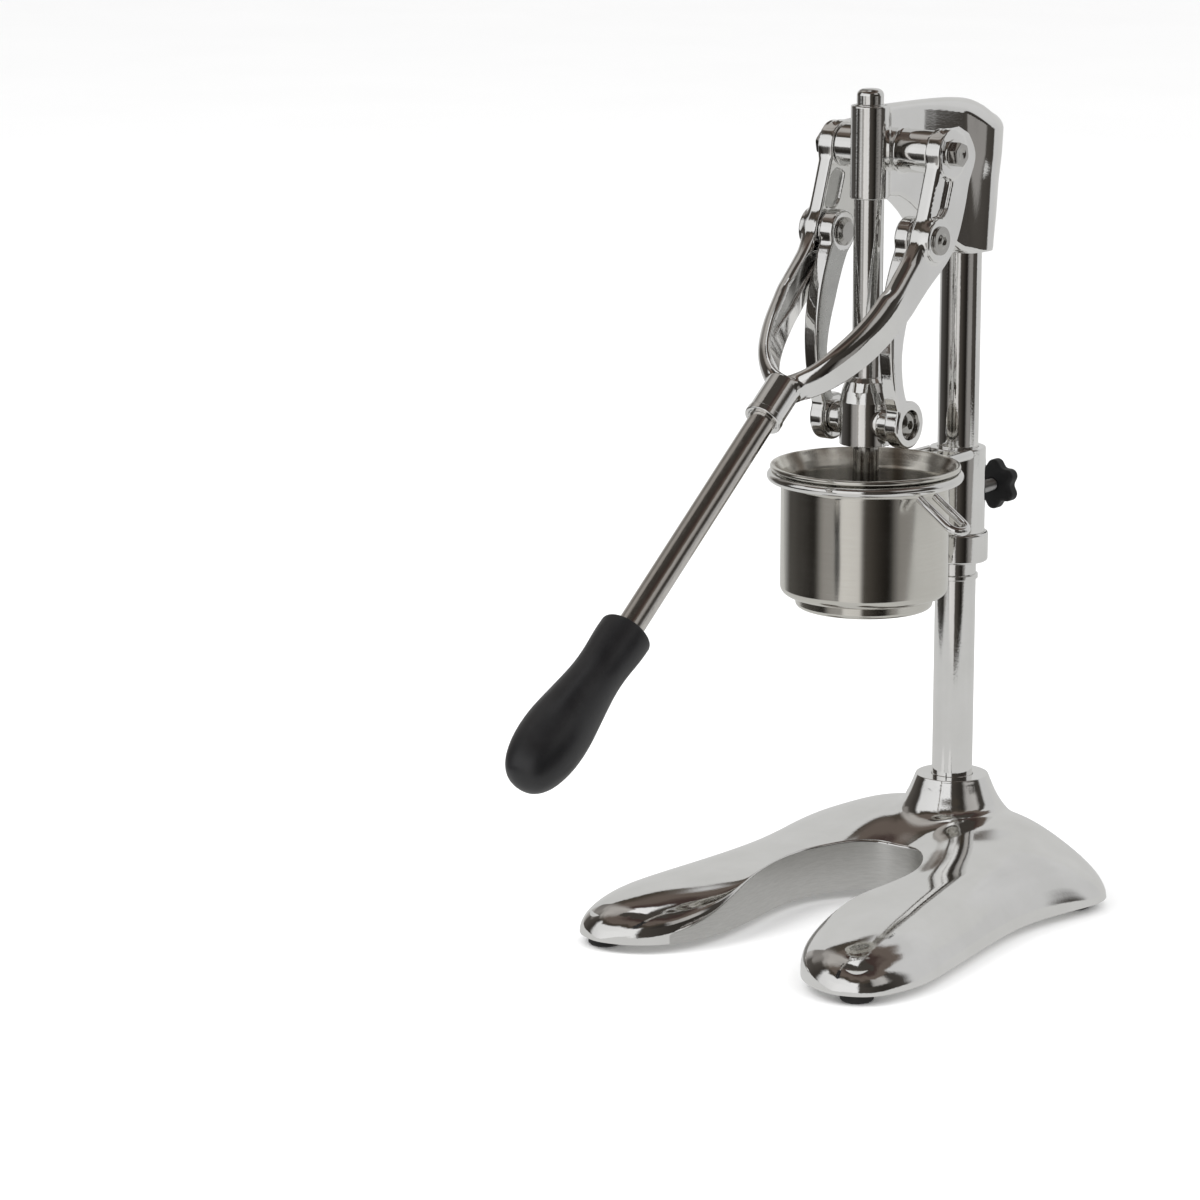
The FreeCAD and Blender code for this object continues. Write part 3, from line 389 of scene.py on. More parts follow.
def sd_polygon(x, y, pts):
    """Signed distance to a closed polygon."""
    pts = np.asarray(pts, float)
    n = len(pts)
    d = np.full(x.shape, 1e18)
    inside = np.zeros(x.shape, bool)
    for i in range(n):
        a, b = pts[i], pts[(i + 1) % n]
        ex, ey = b - a
        wx, wy = x - a[0], y - a[1]
        t = np.clip((wx * ex + wy * ey) / (ex * ex + ey * ey), 0, 1)
        d = np.minimum(d, (wx - ex * t) ** 2 + (wy - ey * t) ** 2)
        c = (a[1] > y) != (b[1] > y)
        if ey != 0:
            xi = a[0] + (y - a[1]) * ex / ey
            inside ^= c & (x < xi)
    d = np.sqrt(d)
    return np.where(inside, -d, d)


def sd_path(p, pts, radius):
    """A round wire along straight runs."""
    best = np.full(p[0].shape, 1e18)
    for a, b in zip(pts[:-1], pts[1:]):
        a, e = np.array(a, float), np.array(b, float) - np.array(a, float)
        w = [p[i] - a[i] for i in range(3)]
        t = np.clip((w[0] * e[0] + w[1] * e[1] + w[2] * e[2]) / (e @ e), 0, 1)
        best = np.minimum(best, sum((w[i] - e[i] * t) ** 2 for i in range(3)))
    return np.sqrt(best) - radius


def smooth_curve(x, y, at, mirror=False):
    """Natural cubic spline through (x, y), read at the values at."""
    x, y, at = np.asarray(x, float), np.asarray(y, float), np.asarray(at, float)
    n = len(x)
    h = np.diff(x)
    A = np.zeros((n, n))
    r = np.zeros(n)
    A[0, 0] = A[-1, -1] = 1
    for i in range(1, n - 1):
        A[i, i - 1], A[i, i], A[i, i + 1] = h[i - 1], 2 * (h[i - 1] + h[i]), h[i]
        r[i] = 6 * ((y[i + 1] - y[i]) / h[i] - (y[i] - y[i - 1]) / h[i - 1])
    m = np.linalg.solve(A, r)
    k = np.clip(np.searchsorted(x, at, side="right") - 1, 0, n - 2)
    t = at - x[k]
    return (y[k] + t * ((y[k + 1] - y[k]) / h[k] - h[k] * (2 * m[k] + m[k + 1]) / 6)
            + t * t * m[k] / 2 + t ** 3 * (m[k + 1] - m[k]) / (6 * h[k]))


def iso_mesh(f, lo, hi, step, eps=0.03):
    """Closed mesh of f = 0 on a grid, pulled onto the surface, with its exact normals."""
    ax = [np.arange(lo[i], hi[i] + step, step) for i in range(3)]
    nx, ny, nz = (len(a) for a in ax)
    Vv = np.empty((nx, ny, nz), np.float32)
    per = max(1, int(400000 / (ny * nz)))
    Y, Z = np.meshgrid(ax[1], ax[2], indexing="ij")
    for i in range(0, nx, per):
        X = ax[0][i:i + per][:, None, None]
        b = np.broadcast_arrays(X, Y[None], Z[None])
        Vv[i:i + per] = f([np.ascontiguousarray(c).ravel() for c in b]).reshape(b[0].shape)
    ins = Vv < 0
    cnt = np.zeros((nx - 1, ny - 1, nz - 1), np.int8)
    for dx in (0, 1):
        for dy in (0, 1):
            for dz in (0, 1):
                cnt += ins[dx:nx - 1 + dx, dy:ny - 1 + dy, dz:nz - 1 + dz]
    mixed = (cnt > 0) & (cnt < 8)
    ci, cj, ck = np.nonzero(mixed)
    idx = np.full(mixed.shape, -1, np.int64)
    idx[ci, cj, ck] = np.arange(len(ci))
    acc = np.zeros((len(ci), 3))
    num = np.zeros(len(ci))
    corners = [(0, 0, 0), (1, 0, 0), (0, 1, 0), (1, 1, 0), (0, 0, 1), (1, 0, 1), (0, 1, 1), (1, 1, 1)]
    for a in range(8):
        for b in range(a + 1, 8):
            ca, cb = corners[a], corners[b]
            if sum(abs(ca[i] - cb[i]) for i in range(3)) != 1:
                continue
            va = Vv[ci + ca[0], cj + ca[1], ck + ca[2]].astype(float)
            vb = Vv[ci + cb[0], cj + cb[1], ck + cb[2]].astype(float)
            m = (va < 0) != (vb < 0)
            t = np.where(m, va / np.where(m, va - vb, 1), 0)
            for i in range(3):
                acc[:, i] += m * (ca[i] + t * (cb[i] - ca[i]))
            num += m
    P = acc / num[:, None]
    P = (P + np.stack([ci, cj, ck], 1)) * step + np.array([ax[0][0], ax[1][0], ax[2][0]])
    F = []
    for axis in range(3):
        s0 = [slice(None)] * 3
        s1 = [slice(None)] * 3
        s0[axis], s1[axis] = slice(0, -1), slice(1, None)
        A, B = ins[tuple(s0)], ins[tuple(s1)]
        o = [i for i in range(3) if i != axis]
        e = A != B
        ijk = np.array(np.nonzero(e))
        good = np.ones(ijk.shape[1], bool)
        for q in o:
            good &= (ijk[q] > 0) & (ijk[q] < (nx, ny, nz)[q] - 1)
        ijk = ijk[:, good]
        first = A[tuple(ijk)]
        quad = []
        for d0, d1 in ((1, 1), (0, 1), (0, 0), (1, 0)):
            c = ijk.copy()
            c[o[0]] -= d0
            c[o[1]] -= d1
            quad.append(idx[tuple(c)])
        quad = np.array(quad).T
        flip = first ^ (axis == 1)
        quad[~flip] = quad[~flip][:, ::-1]
        F.append(quad)
    F = np.concatenate(F)

    def grad(p):
        e = eps
        g = np.empty_like(p)
        for i in range(3):
            a, b = p.copy(), p.copy()
            a[:, i] += e
            b[:, i] -= e
            g[:, i] = (f([a[:, 0], a[:, 1], a[:, 2]]) - f([b[:, 0], b[:, 1], b[:, 2]])) / (2 * e)
        return g

    for _ in range(3):
        g = grad(P)
        v = f([P[:, 0], P[:, 1], P[:, 2]])
        mv = -(v / np.maximum((g * g).sum(1), 0.05))[:, None] * g
        ln = np.linalg.norm(mv, axis=1)
        mv *= np.minimum(1, 0.7 * step / np.maximum(ln, 1e-9))[:, None]
        P = P + mv
    g = grad(P)
    return P, [tuple(q) for q in F.tolist()], g


# =====================================================================
# camera, light, floor
# =====================================================================
cam_data = bpy.data.cameras.new("view")
cam = bpy.data.objects.new("view", cam_data)
bpy.context.scene.collection.objects.link(cam)
AZ, EL = math.radians(37.41), math.radians(12.632)
look = Vector((-math.sin(AZ) * math.cos(EL), math.cos(AZ) * math.cos(EL), -math.sin(EL)))
cam.location = (1.45879, -2.27343 + SHIFT_Y / 1000.0, 0.78576)
cam.rotation_mode = "QUATERNION"
cam.rotation_quaternion = look.to_track_quat("-Z", "Y")
cam_data.sensor_width = 36.0
cam_data.lens = 4403.8 / 1200 * 36.0
cam_data.clip_start, cam_data.clip_end = 0.1, 60.0
bpy.context.scene.camera = cam
bpy.context.scene.view_settings.view_transform = "Standard"
bpy.context.scene.view_settings.look = "None"


def studio():
    """A pale surround; shiny metal sees the studio: bright screens and dark gaps between them."""
    w = bpy.data.worlds.new("studio")
    bpy.context.scene.world = w
    w.use_nodes = True
    nt = w.node_tree
    nt.nodes.clear()
    out = nt.nodes.new("ShaderNodeOutputWorld")
    tc = nt.nodes.new("ShaderNodeTexCoord")
    sp = nt.nodes.new("ShaderNodeSeparateXYZ")
    nt.links.new(tc.outputs["Generated"], sp.inputs[0])
    ang = math2(nt, "ARCTAN2", sp.outputs[1], sp.outputs[0])
    wob = noise(nt, tc.outputs["Generated"], 2.3, 2.0)
    ang = math2(nt, "ADD", ang, span(nt, wob, 0.3, 0.7, -0.05, 0.05))
    # 0..1 round the horizon, starting behind the object as the photograph sees it
    turn_ = math2(nt, "FRACT", math2(nt, "ADD", math2(nt, "DIVIDE", ang, 2 * math.pi),
                                     0.5 + 52.6 / 360 + 1.0), 0)

    def ramp(stops, fac):
        r = nt.nodes.new("ShaderNodeValToRGB")
        r.color_ramp.interpolation = "EASE"
        el = r.color_ramp.elements
        while len(el) > 1:
            el.remove(el[-1])
        el[0].position, el[0].color = stops[0][0], (*stops[0][1], 1)
        for p, c in stops[1:]:
            e = el.new(p)
            e.color = (*c, 1)
        nt.links.new(fac, r.inputs["Fac"])
        return r.outputs["Color"]

    def g(v, warm=0.0):
        return (v * (1 + warm), v, v * (1 - warm))

    def at(deg):
        return (deg + 180.0) / 360.0

    band = ramp([(at(-180), g(0.60)), (at(-146), g(0.45)), (at(-126), g(0.08, .06)), (at(-76), g(0.02, .12)),
                 (at(-58), g(0.30, .04)), (at(-45), g(0.35, .03)), (at(-38), g(0.75, .02)), (at(-11), g(0.70, .02)),
                 (at(-3), g(0.06, .12)), (at(30), g(0.012, .15)), (at(47), g(0.27, .04)), (at(61), g(0.27, .04)),
                 (at(70), g(0.06, .10)), (at(94), g(0.05, .10)), (at(101), g(0.60)), (at(180), g(0.60))], turn_)
    lamp = ramp([(at(-180), g(0.85)), (at(-128), g(0.90)), (at(-112), g(0.05, .12)), (at(150), g(0.05, .12)),
                 (at(168), g(0.85)), (at(180), g(0.85))], turn_)
    high = ramp([(at(-180), g(0.60)), (at(-168), g(0.55)), (at(-150), g(0.40, .04)), (at(-136), g(0.08, .10)),
                 (at(-106), g(0.04, .12)), (at(-94), g(0.72)), (at(-55), g(0.85)), (at(-10), g(0.85)),
                 (at(-3), g(0.05, .12)), (at(60), g(0.03, .12)), (at(83), g(0.05, .10)), (at(93), g(0.60)),
                 (at(180), g(0.60))], turn_)
    upper = ramp([(at(-180), g(0.06, .12)), (at(-165), g(0.06, .12)), (at(-150), g(0.20, .06)),
                  (at(-136), g(0.24, .06)), (at(-118), g(0.06, .12)), (at(-106), g(0.04, .12)), (at(-94), g(0.75)), (at(-10), g(0.85)),
                  (at(-3), g(0.05, .12)), (at(28), g(0.03, .12)), (at(42), g(0.40, .03)), (at(66), g(0.45, .03)),
                  (at(76), g(0.05, .10)), (at(84), g(0.05, .10)), (at(93), g(0.60)), (at(167), g(0.65)),
                  (at(174), g(0.12, .10)), (at(180), g(0.06, .12))], turn_)
    roof = ramp([(at(-180), g(0.05, .20)), (at(-162), g(0.06, .20)), (at(-146), g(0.34, .05)),
                 (at(-124), g(0.36, .05)), (at(-104), g(0.08, .15)), (at(-90), g(0.05, .20)), (at(28), g(0.05, .20)), (at(42), g(0.40, .03)), (at(66), g(0.45, .03)),
                 (at(76), g(0.05, .12)), (at(82), g(0.05, .12)), (at(92), g(0.60)), (at(168), g(0.60)),
                 (at(176), g(0.10, .12)), (at(180), g(0.05, .20))], turn_)
    brown, tan = (0.056, 0.038, 0.034), (0.13, 0.105, 0.09)
    cove = ramp([(at(-180), tan), (at(-160), tan), (at(-144), g(0.40, .05)), (at(-122), g(0.42, .05)),
                 (at(-100), tan), (at(180), tan)], turn_)
    ceil = ramp([(at(-180), brown), (at(-158), brown), (at(-142), g(0.42, .05)), (at(-116), g(0.36, .05)),
                 (at(-90), tan), (at(-55), brown), (at(180), brown)], turn_)
    wob2 = span(nt, noise(nt, tc.outputs["Generated"], 3.1, 2.0), 0.3, 0.7, -0.05, 0.05)
    z = math2(nt, "ADD", sp.outputs[2], wob2)

    def blend(fac, a, b):
        n = nt.nodes.new("ShaderNodeMix")
        n.data_type = "RGBA"
        nt.links.new(fac, n.inputs[0])
        for s, c in ((6, a), (7, b)):
            if isinstance(c, tuple):
                n.inputs[s].default_value = (*c, 1)
            else:
                nt.links.new(c, n.inputs[s])
        return n.outputs[2]

    def step(a, b):
        n = nt.nodes.new("ShaderNodeMapRange")
        n.interpolation_type = "SMOOTHSTEP"
        n.inputs["From Min"].default_value = a
        n.inputs["From Max"].default_value = b
        nt.links.new(z, n.inputs["Value"])
        return n.outputs["Result"]

    c = blend(step(-0.60, -0.46), g(0.30), band)          # below, then the room
    c = blend(step(-0.13, -0.03), c, high)                # screens beside the object
    c = blend(step(0.32, 0.42), c, upper)
    c = blend(step(0.58, 0.66), c, roof)                  # ceiling, lit over the right rear
    c = blend(step(0.70, 0.76), c, cove)
    c = blend(step(0.82, 0.90), c, ceil)
    c = blend(step(0.925, 0.945), c, lamp)                # lamp above, towards the back
    lp = nt.nodes.new("ShaderNodeLightPath")
    cam_col = (1.0, 1.0, 1.0)
    seen = blend(lp.outputs["Is Camera Ray"], c, cam_col)
    dif = blend(lp.outputs["Is Diffuse Ray"], seen, g(1.15))
    bg = nt.nodes.new("ShaderNodeBackground")
    nt.links.new(dif, bg.inputs["Color"])
    bg.inputs["Strength"].default_value = 1.0
    nt.links.new(bg.outputs[0], out.inputs["Surface"])


studio()


def area(name, loc, target, size, power, shape="DISK"):
    d = bpy.data.lights.new(name, "AREA")
    d.energy, d.size, d.shape = power, size, shape
    o = bpy.data.objects.new(name, d)
    o.location = loc
    o.rotation_mode = "QUATERNION"
    o.rotation_quaternion = (Vector(target) - Vector(loc)).to_track_quat("-Z", "Y")
    bpy.context.scene.collection.objects.link(o)
    o.visible_glossy = False
    return o


area("key", (-1.2, -1.6, 2.4), (0, 0.05, 0.15), 1.6, 40)
area("fill", (2.0, 0.2, 1.8), (0, 0.05, 0.15), 1.8, 16)


def make_floor():
    """Pale flat studio surface reaching far out."""
    n = 48
    rad = np.concatenate([np.linspace(0, 1.2, 14)[1:], np.linspace(1.5, 9.0, 12)])
    verts, faces = [(0, 0, 0)], []
    for r in rad:
        for k in range(n):
            t = 2 * math.pi * k / n
            verts.append((r * math.cos(t), r * math.sin(t), 0.0))
    for k in range(n):
        faces.append((0, 1 + k, 1 + (k + 1) % n))
    for i in range(len(rad) - 1):
        for k in range(n):
            a, b = 1 + i * n + k, 1 + i * n + (k + 1) % n
            faces.append((a, a + n, b + n, b))
    me = bpy.data.meshes.new("floor")
    me.from_pydata(verts, [], faces)
    me.update()
    o = bpy.data.objects.new("floor", me)
    bpy.context.scene.collection.objects.link(o)
    m, nt, b = new_material("pale_floor")
    v = coords(nt)
    nt.links.new(mix_rgb(nt, noise(nt, v, 3.0, 3.0), (0.90, 0.90, 0.90), (0.93, 0.93, 0.93)), b.inputs["Base Color"])
    b.inputs["Roughness"].default_value = 0.75
    b.inputs["Specular IOR Level"].default_value = 0.2
    me.materials.append(m)
    o.visible_glossy = False


make_floor()


def make_sweep():
    """The lit table and the curved backdrop, as the shiny metal sees them."""
    away = np.array([-0.607, 0.794])
    right = np.array([0.794, 0.607])
    line = [(a, -0.002) for a in np.linspace(-0.62, 0.75, 10)]
    line += [(0.75 + 0.25 * math.sin(t), -0.002 + 0.25 * (1 - math.cos(t))) for t in np.linspace(0.2, math.pi / 2, 8)]
    line += [(1.0, z) for z in np.linspace(0.35, 0.95, 5)]
    across = np.linspace(-0.7, 1.6, 24)
    verts, faces = [], []
    for a, z in line:
        for b_ in across:
            q = away * a + right * b_
            verts.append((q[0], q[1] + SHIFT_Y / 1000.0, z))
    n = len(across)
    for i in range(len(line) - 1):
        for j in range(n - 1):
            k = i * n + j
            faces.append((k, k + 1, k + n + 1, k + n))
    me = bpy.data.meshes.new("sweep")
    me.from_pydata(verts, [], faces)
    me.update()
    o = bpy.data.objects.new("sweep", me)
    bpy.context.scene.collection.objects.link(o)
    m = bpy.data.materials.new("lit_sweep")
    m.use_nodes = True
    nt = m.node_tree
    nt.nodes.clear()
    out = nt.nodes.new("ShaderNodeOutputMaterial")
    em = nt.nodes.new("ShaderNodeEmission")
    nt.links.new(mix_rgb(nt, noise(nt, coords(nt), 2.0, 2.0), (0.58, 0.58, 0.572), (0.66, 0.66, 0.652)), em.inputs["Color"])
    em.inputs["Strength"].default_value = 1.0
    nt.links.new(em.outputs[0], out.inputs["Surface"])
    me.materials.append(m)
    o.visible_camera = False
    o.visible_diffuse = False
    o.visible_shadow = False
    o.visible_transmission = False


make_sweep()

# =====================================================================
# base casting
# =====================================================================
INNER = [(0, -58.5), (9, -59.6), (18, -64.5), (27, -74), (35, -88), (40, -104), (41.5, -121),
         (40.5, -140), (37.5, -165), (36, -190), (38.5, -212), (45, -230), (53.5, -242),
         (63.5, -250.2), (73, -254.6), (81.0, -256.6), (85.0, -257.0)]
OUTER = [(0, 45), (35, 41.5), (68, 33.5), (95, 24), (109, 10), (112, -8), (107, -34),
         (102, -68), (104, -106), (110, -148), (115.5, -186), (117.2, -212), (112.5, -236),
         (105.0, -248.6), (96.5, -254.2), (89.0, -256.6), (85.0, -257.0)]
# height of the sharp inner edge, of the crest, and where the crest runs across the leg
EDGE = [36, 36.5, 37.5, 37.8, 37.2, 37, 36.8, 36.2, 34, 26.5, 18.5, 14, 11.5, 9.5, 8.0, 6.9, 6.2]
TOP = [50, 50.5, 49.5, 45.0, 41.4, 39.0, 37.6, 36.6, 35.8, 35.0, 33.8, 31.2, 27, 21, 15, 9.3, 6.3]
WHERE = [.62, .60, .54, .46, .43, .41, .42, .46, .48, .48, .48, .48, .48, .48, .48, .5, .5]
RISE = [1.0, 1.0, 1.0, 1.0, 0.95, 0.9, 0.85, 0.75, 0.65, 0.55, 0.5, 0.5, 0.5, 0.5, 0.5, 0.5, 0.5]
FALL = [2.3, 2.3, 2.1, 1.9, 1.75, 1.75, 1.9, 2.0, 2.0, 2.0, 2.0, 2.0, 2.0, 2.0, 2.0, 2.0, 2.0]
CONE_F = [(0, 70.9), (22.3, 70.9), (22.9, 70.3), (24.4, 66.8), (26.4, 61.9), (28.8, 57.0), (31.0, 52.6), (34.2, 48.2),
          (38.2, 44.6), (43.4, 41.2), (49.5, 38.2), (56, 35.8), (64, 34), (80, 30)]
CONE_R = [(0, 70.9), (22.3, 70.9), (22.9, 70.3), (24.4, 66.8), (26.4, 61.9), (28.8, 57.0), (31.8, 52.0), (35, 47.0),
          (38.5, 40), (41.2, 30), (42.8, 15), (43.8, 4), (60, 0), (80, 0)]
BASE_Z = 6.0


def both_sides(vals):
    a = list(reversed(vals[1:]))
    return np.array(a + list(vals), float)


_ui = np.arange(-16, 17, dtype=float)


def base_params(u):
    """Section data at u, -16..16 from toe to toe."""
    au = np.abs(u)
    sg = np.where(u < 0, -1.0, 1.0)
    ix = smooth_curve(_ui, np.concatenate([[-p[0] for p in reversed(INNER[1:])], [p[0] for p in INNER]]), u)
    iy = smooth_curve(_ui, both_sides([p[1] for p in INNER]), u)
    ox = smooth_curve(_ui, np.concatenate([[-p[0] for p in reversed(OUTER[1:])], [p[0] for p in OUTER]]), u)
    oy = smooth_curve(_ui, both_sides([p[1] for p in OUTER]), u)
    E = smooth_curve(_ui, both_sides(EDGE), u)
    K = smooth_curve(_ui, both_sides(TOP), u)
    c = smooth_curve(_ui, both_sides(WHERE), u)
    p1 = smooth_curve(_ui, both_sides(RISE), u)
    p2 = smooth_curve(_ui, both_sides(FALL), u)
    return ix, iy, ox, oy, E, K, c, p1, p2


def cone_height(x, y):
    r = np.hypot(x, y)
    k = np.clip((y / np.maximum(r, 1e-6) + 0.25) / 0.75, 0, 1)
    k = k * k * (3 - 2 * k)
    rf, zf = zip(*CONE_F)
    rr, zr = zip(*CONE_R)
    return (1 - k) * smooth_table(rf, zf, r) + k * smooth_table(rr, zr, r)


def smooth_table(x, y, at):
    """Monotone cubic through a table."""
    x, y = np.array(x, float), np.array(y, float)
    h, d = np.diff(x), np.diff(y) / np.diff(x)
    m = np.zeros(len(x))
    m[1:-1] = np.where(d[:-1] * d[1:] > 0, 2 * d[:-1] * d[1:] / (d[:-1] + d[1:] + 1e-12), 0)
    m[0], m[-1] = d[0], d[-1]
    at = np.clip(at, x[0], x[-1])
    k = np.clip(np.searchsorted(x, at, side="right") - 1, 0, len(x) - 2)
    t = (at - x[k]) / h[k]
    h00, h10 = 2 * t ** 3 - 3 * t ** 2 + 1, t ** 3 - 2 * t ** 2 + t
    h01, h11 = -2 * t ** 3 + 3 * t ** 2, t ** 3 - t ** 2
    return h00 * y[k] + h10 * h[k] * m[k] + h01 * y[k + 1] + h11 * h[k] * m[k + 1]


def base_point(u, v):
    """v: 0..1 up the inner wall, 1..2 round its edge and over the top to the outer rim."""
    ix, iy, ox, oy, E, K, c, p1, p2 = base_params(u)
    ln = np.maximum(np.hypot(ox - ix, oy - iy), 1e-6)
    K = np.maximum(K, E + 0.02)
    rf = np.clip(np.minimum(1.3, (E - BASE_Z) * 0.35), 0.02, 2) / ln        # edge rounding as a share of the width

    def top(w):
        t1 = np.clip(w / c, 0, 1)
        rise = np.maximum(1 - (1 - t1) ** 2, 0) ** np.clip(p1, 0.5, 1.0)
        s = np.clip((w - c) / (1 - c), 0, 1)
        fall = np.maximum(1 - s ** p2, 0) ** (1 / p2)
        return np.where(w <= c, E + (K - E) * rise, BASE_Z + (K - BASE_Z) * fall)

    # wall
    zw = BASE_Z + (E - rf * ln - BASE_Z) * v
    # corner and top
    q = np.clip(v - 1, 0, 1)
    w_top = np.where(q < 0.12, 0, 1 - np.cos((q - 0.12) / 0.88 * math.pi / 2) ** 1.0)
    # even spacing over the top: sine spacing near the rim
    qq = np.clip((q - 0.12) / 0.88, 0, 1)
    w_top = rf + (1 - rf) * np.sin(qq * math.pi / 2) ** 1.0 * (1 - 0.0)
    w_top = rf + (1 - rf) * (0.45 * qq + 0.55 * np.sin(qq * math.pi / 2))
    b = np.clip(q / 0.12, 0, 1)
    z_end = top(rf)
    zc = (1 - b) ** 2 * (E - rf * ln) + 2 * b * (1 - b) * E + b ** 2 * z_end
    wc = b ** 2 * rf
    w = np.where(v <= 1, 0, np.where(q < 0.12, wc, w_top))
    z = np.where(v <= 1, zw, np.where(q < 0.12, zc, top(w_top)))
    x, y = ix + (ox - ix) * w, iy + (oy - iy) * w
    cone = cone_height(x, y)
    near = (np.hypot(x, y) < 75) & (v > 1.0)
    zs = smax(z, cone, 6.0)
    # let the blend die out at the inner edge and at the outer rim
    keep_in = np.clip((w - rf) / 0.12, 0, 1)
    keep_in = keep_in * keep_in * (3 - 2 * keep_in)
    keep_out = np.clip((1 - w) / 0.06, 0, 1)
    keep_out = keep_out * keep_out * (3 - 2 * keep_out)
    z = np.where(near, z + (np.minimum(zs, 70.9) - z) * keep_in * keep_out, z)
    return np.stack([x, y, z], -1)


def grid_mesh(fun, us, vs, eps_u=2e-3, eps_v=1e-3):
    U, Vv = np.meshgrid(us, vs, indexing="ij")
    P = fun(U.ravel(), Vv.ravel())
    umin, umax, vmin, vmax = us.min(), us.max(), vs.min(), vs.max()
    a = fun(np.clip(U.ravel() + eps_u, umin, umax), Vv.ravel())
    b = fun(np.clip(U.ravel() - eps_u, umin, umax), Vv.ravel())
    c = fun(U.ravel(), np.clip(Vv.ravel() + eps_v, vmin, vmax))
    d = fun(U.ravel(), np.clip(Vv.ravel() - eps_v, vmin, vmax))
    N = np.cross(a - b, c - d)
    nu, nv = len(us), len(vs)
    i, j = np.meshgrid(np.arange(nu - 1), np.arange(nv - 1), indexing="ij")
    k = (i * nv + j).ravel()
    F = np.stack([k, k + nv, k + nv + 1, k + 1], 1)
    return P, F, N


def make_base():
    us = []
    for i in range(16):
        n = 16 if i < 7 else (10 if i < 11 else 14)
        us += list(np.linspace(i, i + 1, n, endpoint=False))
    us.append(15.995)
    us = np.array(us)
    us = np.concatenate([-us[:0:-1], us])
    vs = np.concatenate([np.linspace(0, 1, 7), 1 + np.linspace(0, 0.12, 7)[1:], 1 + np.linspace(0.12, 1, 84)[1:]])
    P, F, N = grid_mesh(base_point, us, vs)
    # outward
    cen = P[F].mean(1)
    up = N[F[:, 0]][:, 2]
    if up[np.abs(cen[:, 2] - 34) < 5].mean() < 0:
        N = -N
        F = F[:, ::-1]
    r = np.hypot(P[:, 0], P[:, 1])
    keep = ~(r[F] < 25.0).all(1)
    F = F[keep]
    b = Build()
    P[:, 0] = np.clip(P[:, 0], -117.28, 117.28)
    b.add(P, F.tolist(), N)
    # rounded lower rim and the hollow underside
    nv = len(vs)
    nu = len(us)
    rim_in = P.reshape(nu, nv, 3)[:, 0]
    rim_out = P.reshape(nu, nv, 3)[:, -1]
    mid = (rim_in + rim_out) / 2
    rows = []
    for t, dz in ((0.0, 0.0), (0.02, -0.0), (0.14, 0.0), (0.16, 2.0), (0.24, 9.0), (0.45, 14.0)):
        pi = rim_in + (mid - rim_in) * t
        po = rim_out + (mid - rim_out) * t
        wide = np.linalg.norm(rim_out - rim_in, axis=1)
        k = np.clip((wide - 20) / 30, 0, 1)
        pi[:, 2] = BASE_Z + dz * k * 0.9
        po[:, 2] = BASE_Z + dz * k * 0.9
        rows.append((pi, po))
    ring = [r_[0] for r_ in rows] + [r_[1] for r_ in reversed(rows)]
    R = np.array(ring)                      # rows across, nu along
    m = len(ring)
    verts = R.transpose(1, 0, 2).reshape(-1, 3)
    i, j = np.meshgrid(np.arange(nu - 1), np.arange(m - 1), indexing="ij")
    k = (i * m + j).ravel()
    Fq = np.stack([k, k + 1, k + m + 1, k + m], 1)
    n = np.zeros_like(verts)
    nn = np.cross(verts[Fq[:, 1]] - verts[Fq[:, 0]], verts[Fq[:, 3]] - verts[Fq[:, 0]])
    for q in range(4):
        np.add.at(n, Fq[:, q], nn)
    if n[:, 2].sum() > 0:
        n = -n
        Fq = Fq[:, ::-1]
    b.add(verts, Fq.tolist(), n)
    # top of the socket: the same flank, a rounded rim, and the bore
    segs = 144
    rr = np.array([26.9, 26.4, 25.9, 25.4, 24.9, 24.4, 23.9, 23.4, 23.15])
    zz = smooth_table(*zip(*CONE_F), rr)
    zz[0] -= 0.5
    slope = (smooth_table(*zip(*CONE_F), rr + 0.05) - smooth_table(*zip(*CONE_F), rr - 0.05)) / 0.1
    th = np.arange(segs) * 2 * math.pi / segs
    cs, sn = np.cos(th)[:, None], np.sin(th)[:, None]
    V = np.stack([cs * rr, sn * rr, np.broadcast_to(zz, (segs, len(rr)))], -1)
    W = np.stack([cs * -slope, sn * -slope, np.ones((segs, len(rr)))], -1)
    m = len(rr)
    Fs = [(i * m + k, ((i + 1) % segs) * m + k, ((i + 1) % segs) * m + k + 1, i * m + k + 1)
          for i in range(segs) for k in range(m - 1)]
    b.add(V.reshape(-1, 3), Fs, W.reshape(-1, 3))
    prof = [(23.2, float(zz[-1]) - 0.15), (22.75, 70.9, 0.6), (13.4, 70.9, 0.5), (12.85, 69.9, 0.3), (12.85, 60, 0)]
    b.add(*lathe(prof, segs, closed=False, steps=6))
    # bosses for the feet
    for sx in (1, -1):
        for fx, fy in ((92.0, -241.0), (93.0, -2.0)):
            b.add(*placed(lathe([(0, 5.95), (9.0, 5.95, 0.4), (9.0, 20), (0, 20)], 32), (sx * fx, fy, 0)))
    b.add(*lathe([(12.8, 24), (12.8, 12), (26, 12, 1), (26, 30), (12.8, 30)], 48))

    def inner_wall(cen, nor):
        to = np.array([0.0, -160.0]) - cen[:, :2]
        return (np.abs(nor[:, 2]) < 0.12) & ((to * nor[:, :2]).sum(1) > 0) & (cen[:, 1] > -235) & (np.abs(cen[:, 0]) < 50)
    b.object("base_body", "stand", "chrome_casting", M_CAST, "base_casting", second=(M_SATIN, inner_wall))


make_base()

# =====================================================================
# turned pieces
# =====================================================================


def turned(name, body, slot, mat, pts, nodes, origin=(0, 0, 0), z_to=None, segs=96, steps=6, second=None):
    b = Build()
    b.add(*placed(lathe(pts, segs, True, steps), origin, z_to))
    return b.object(name, body, slot, mat, *nodes, second=second)


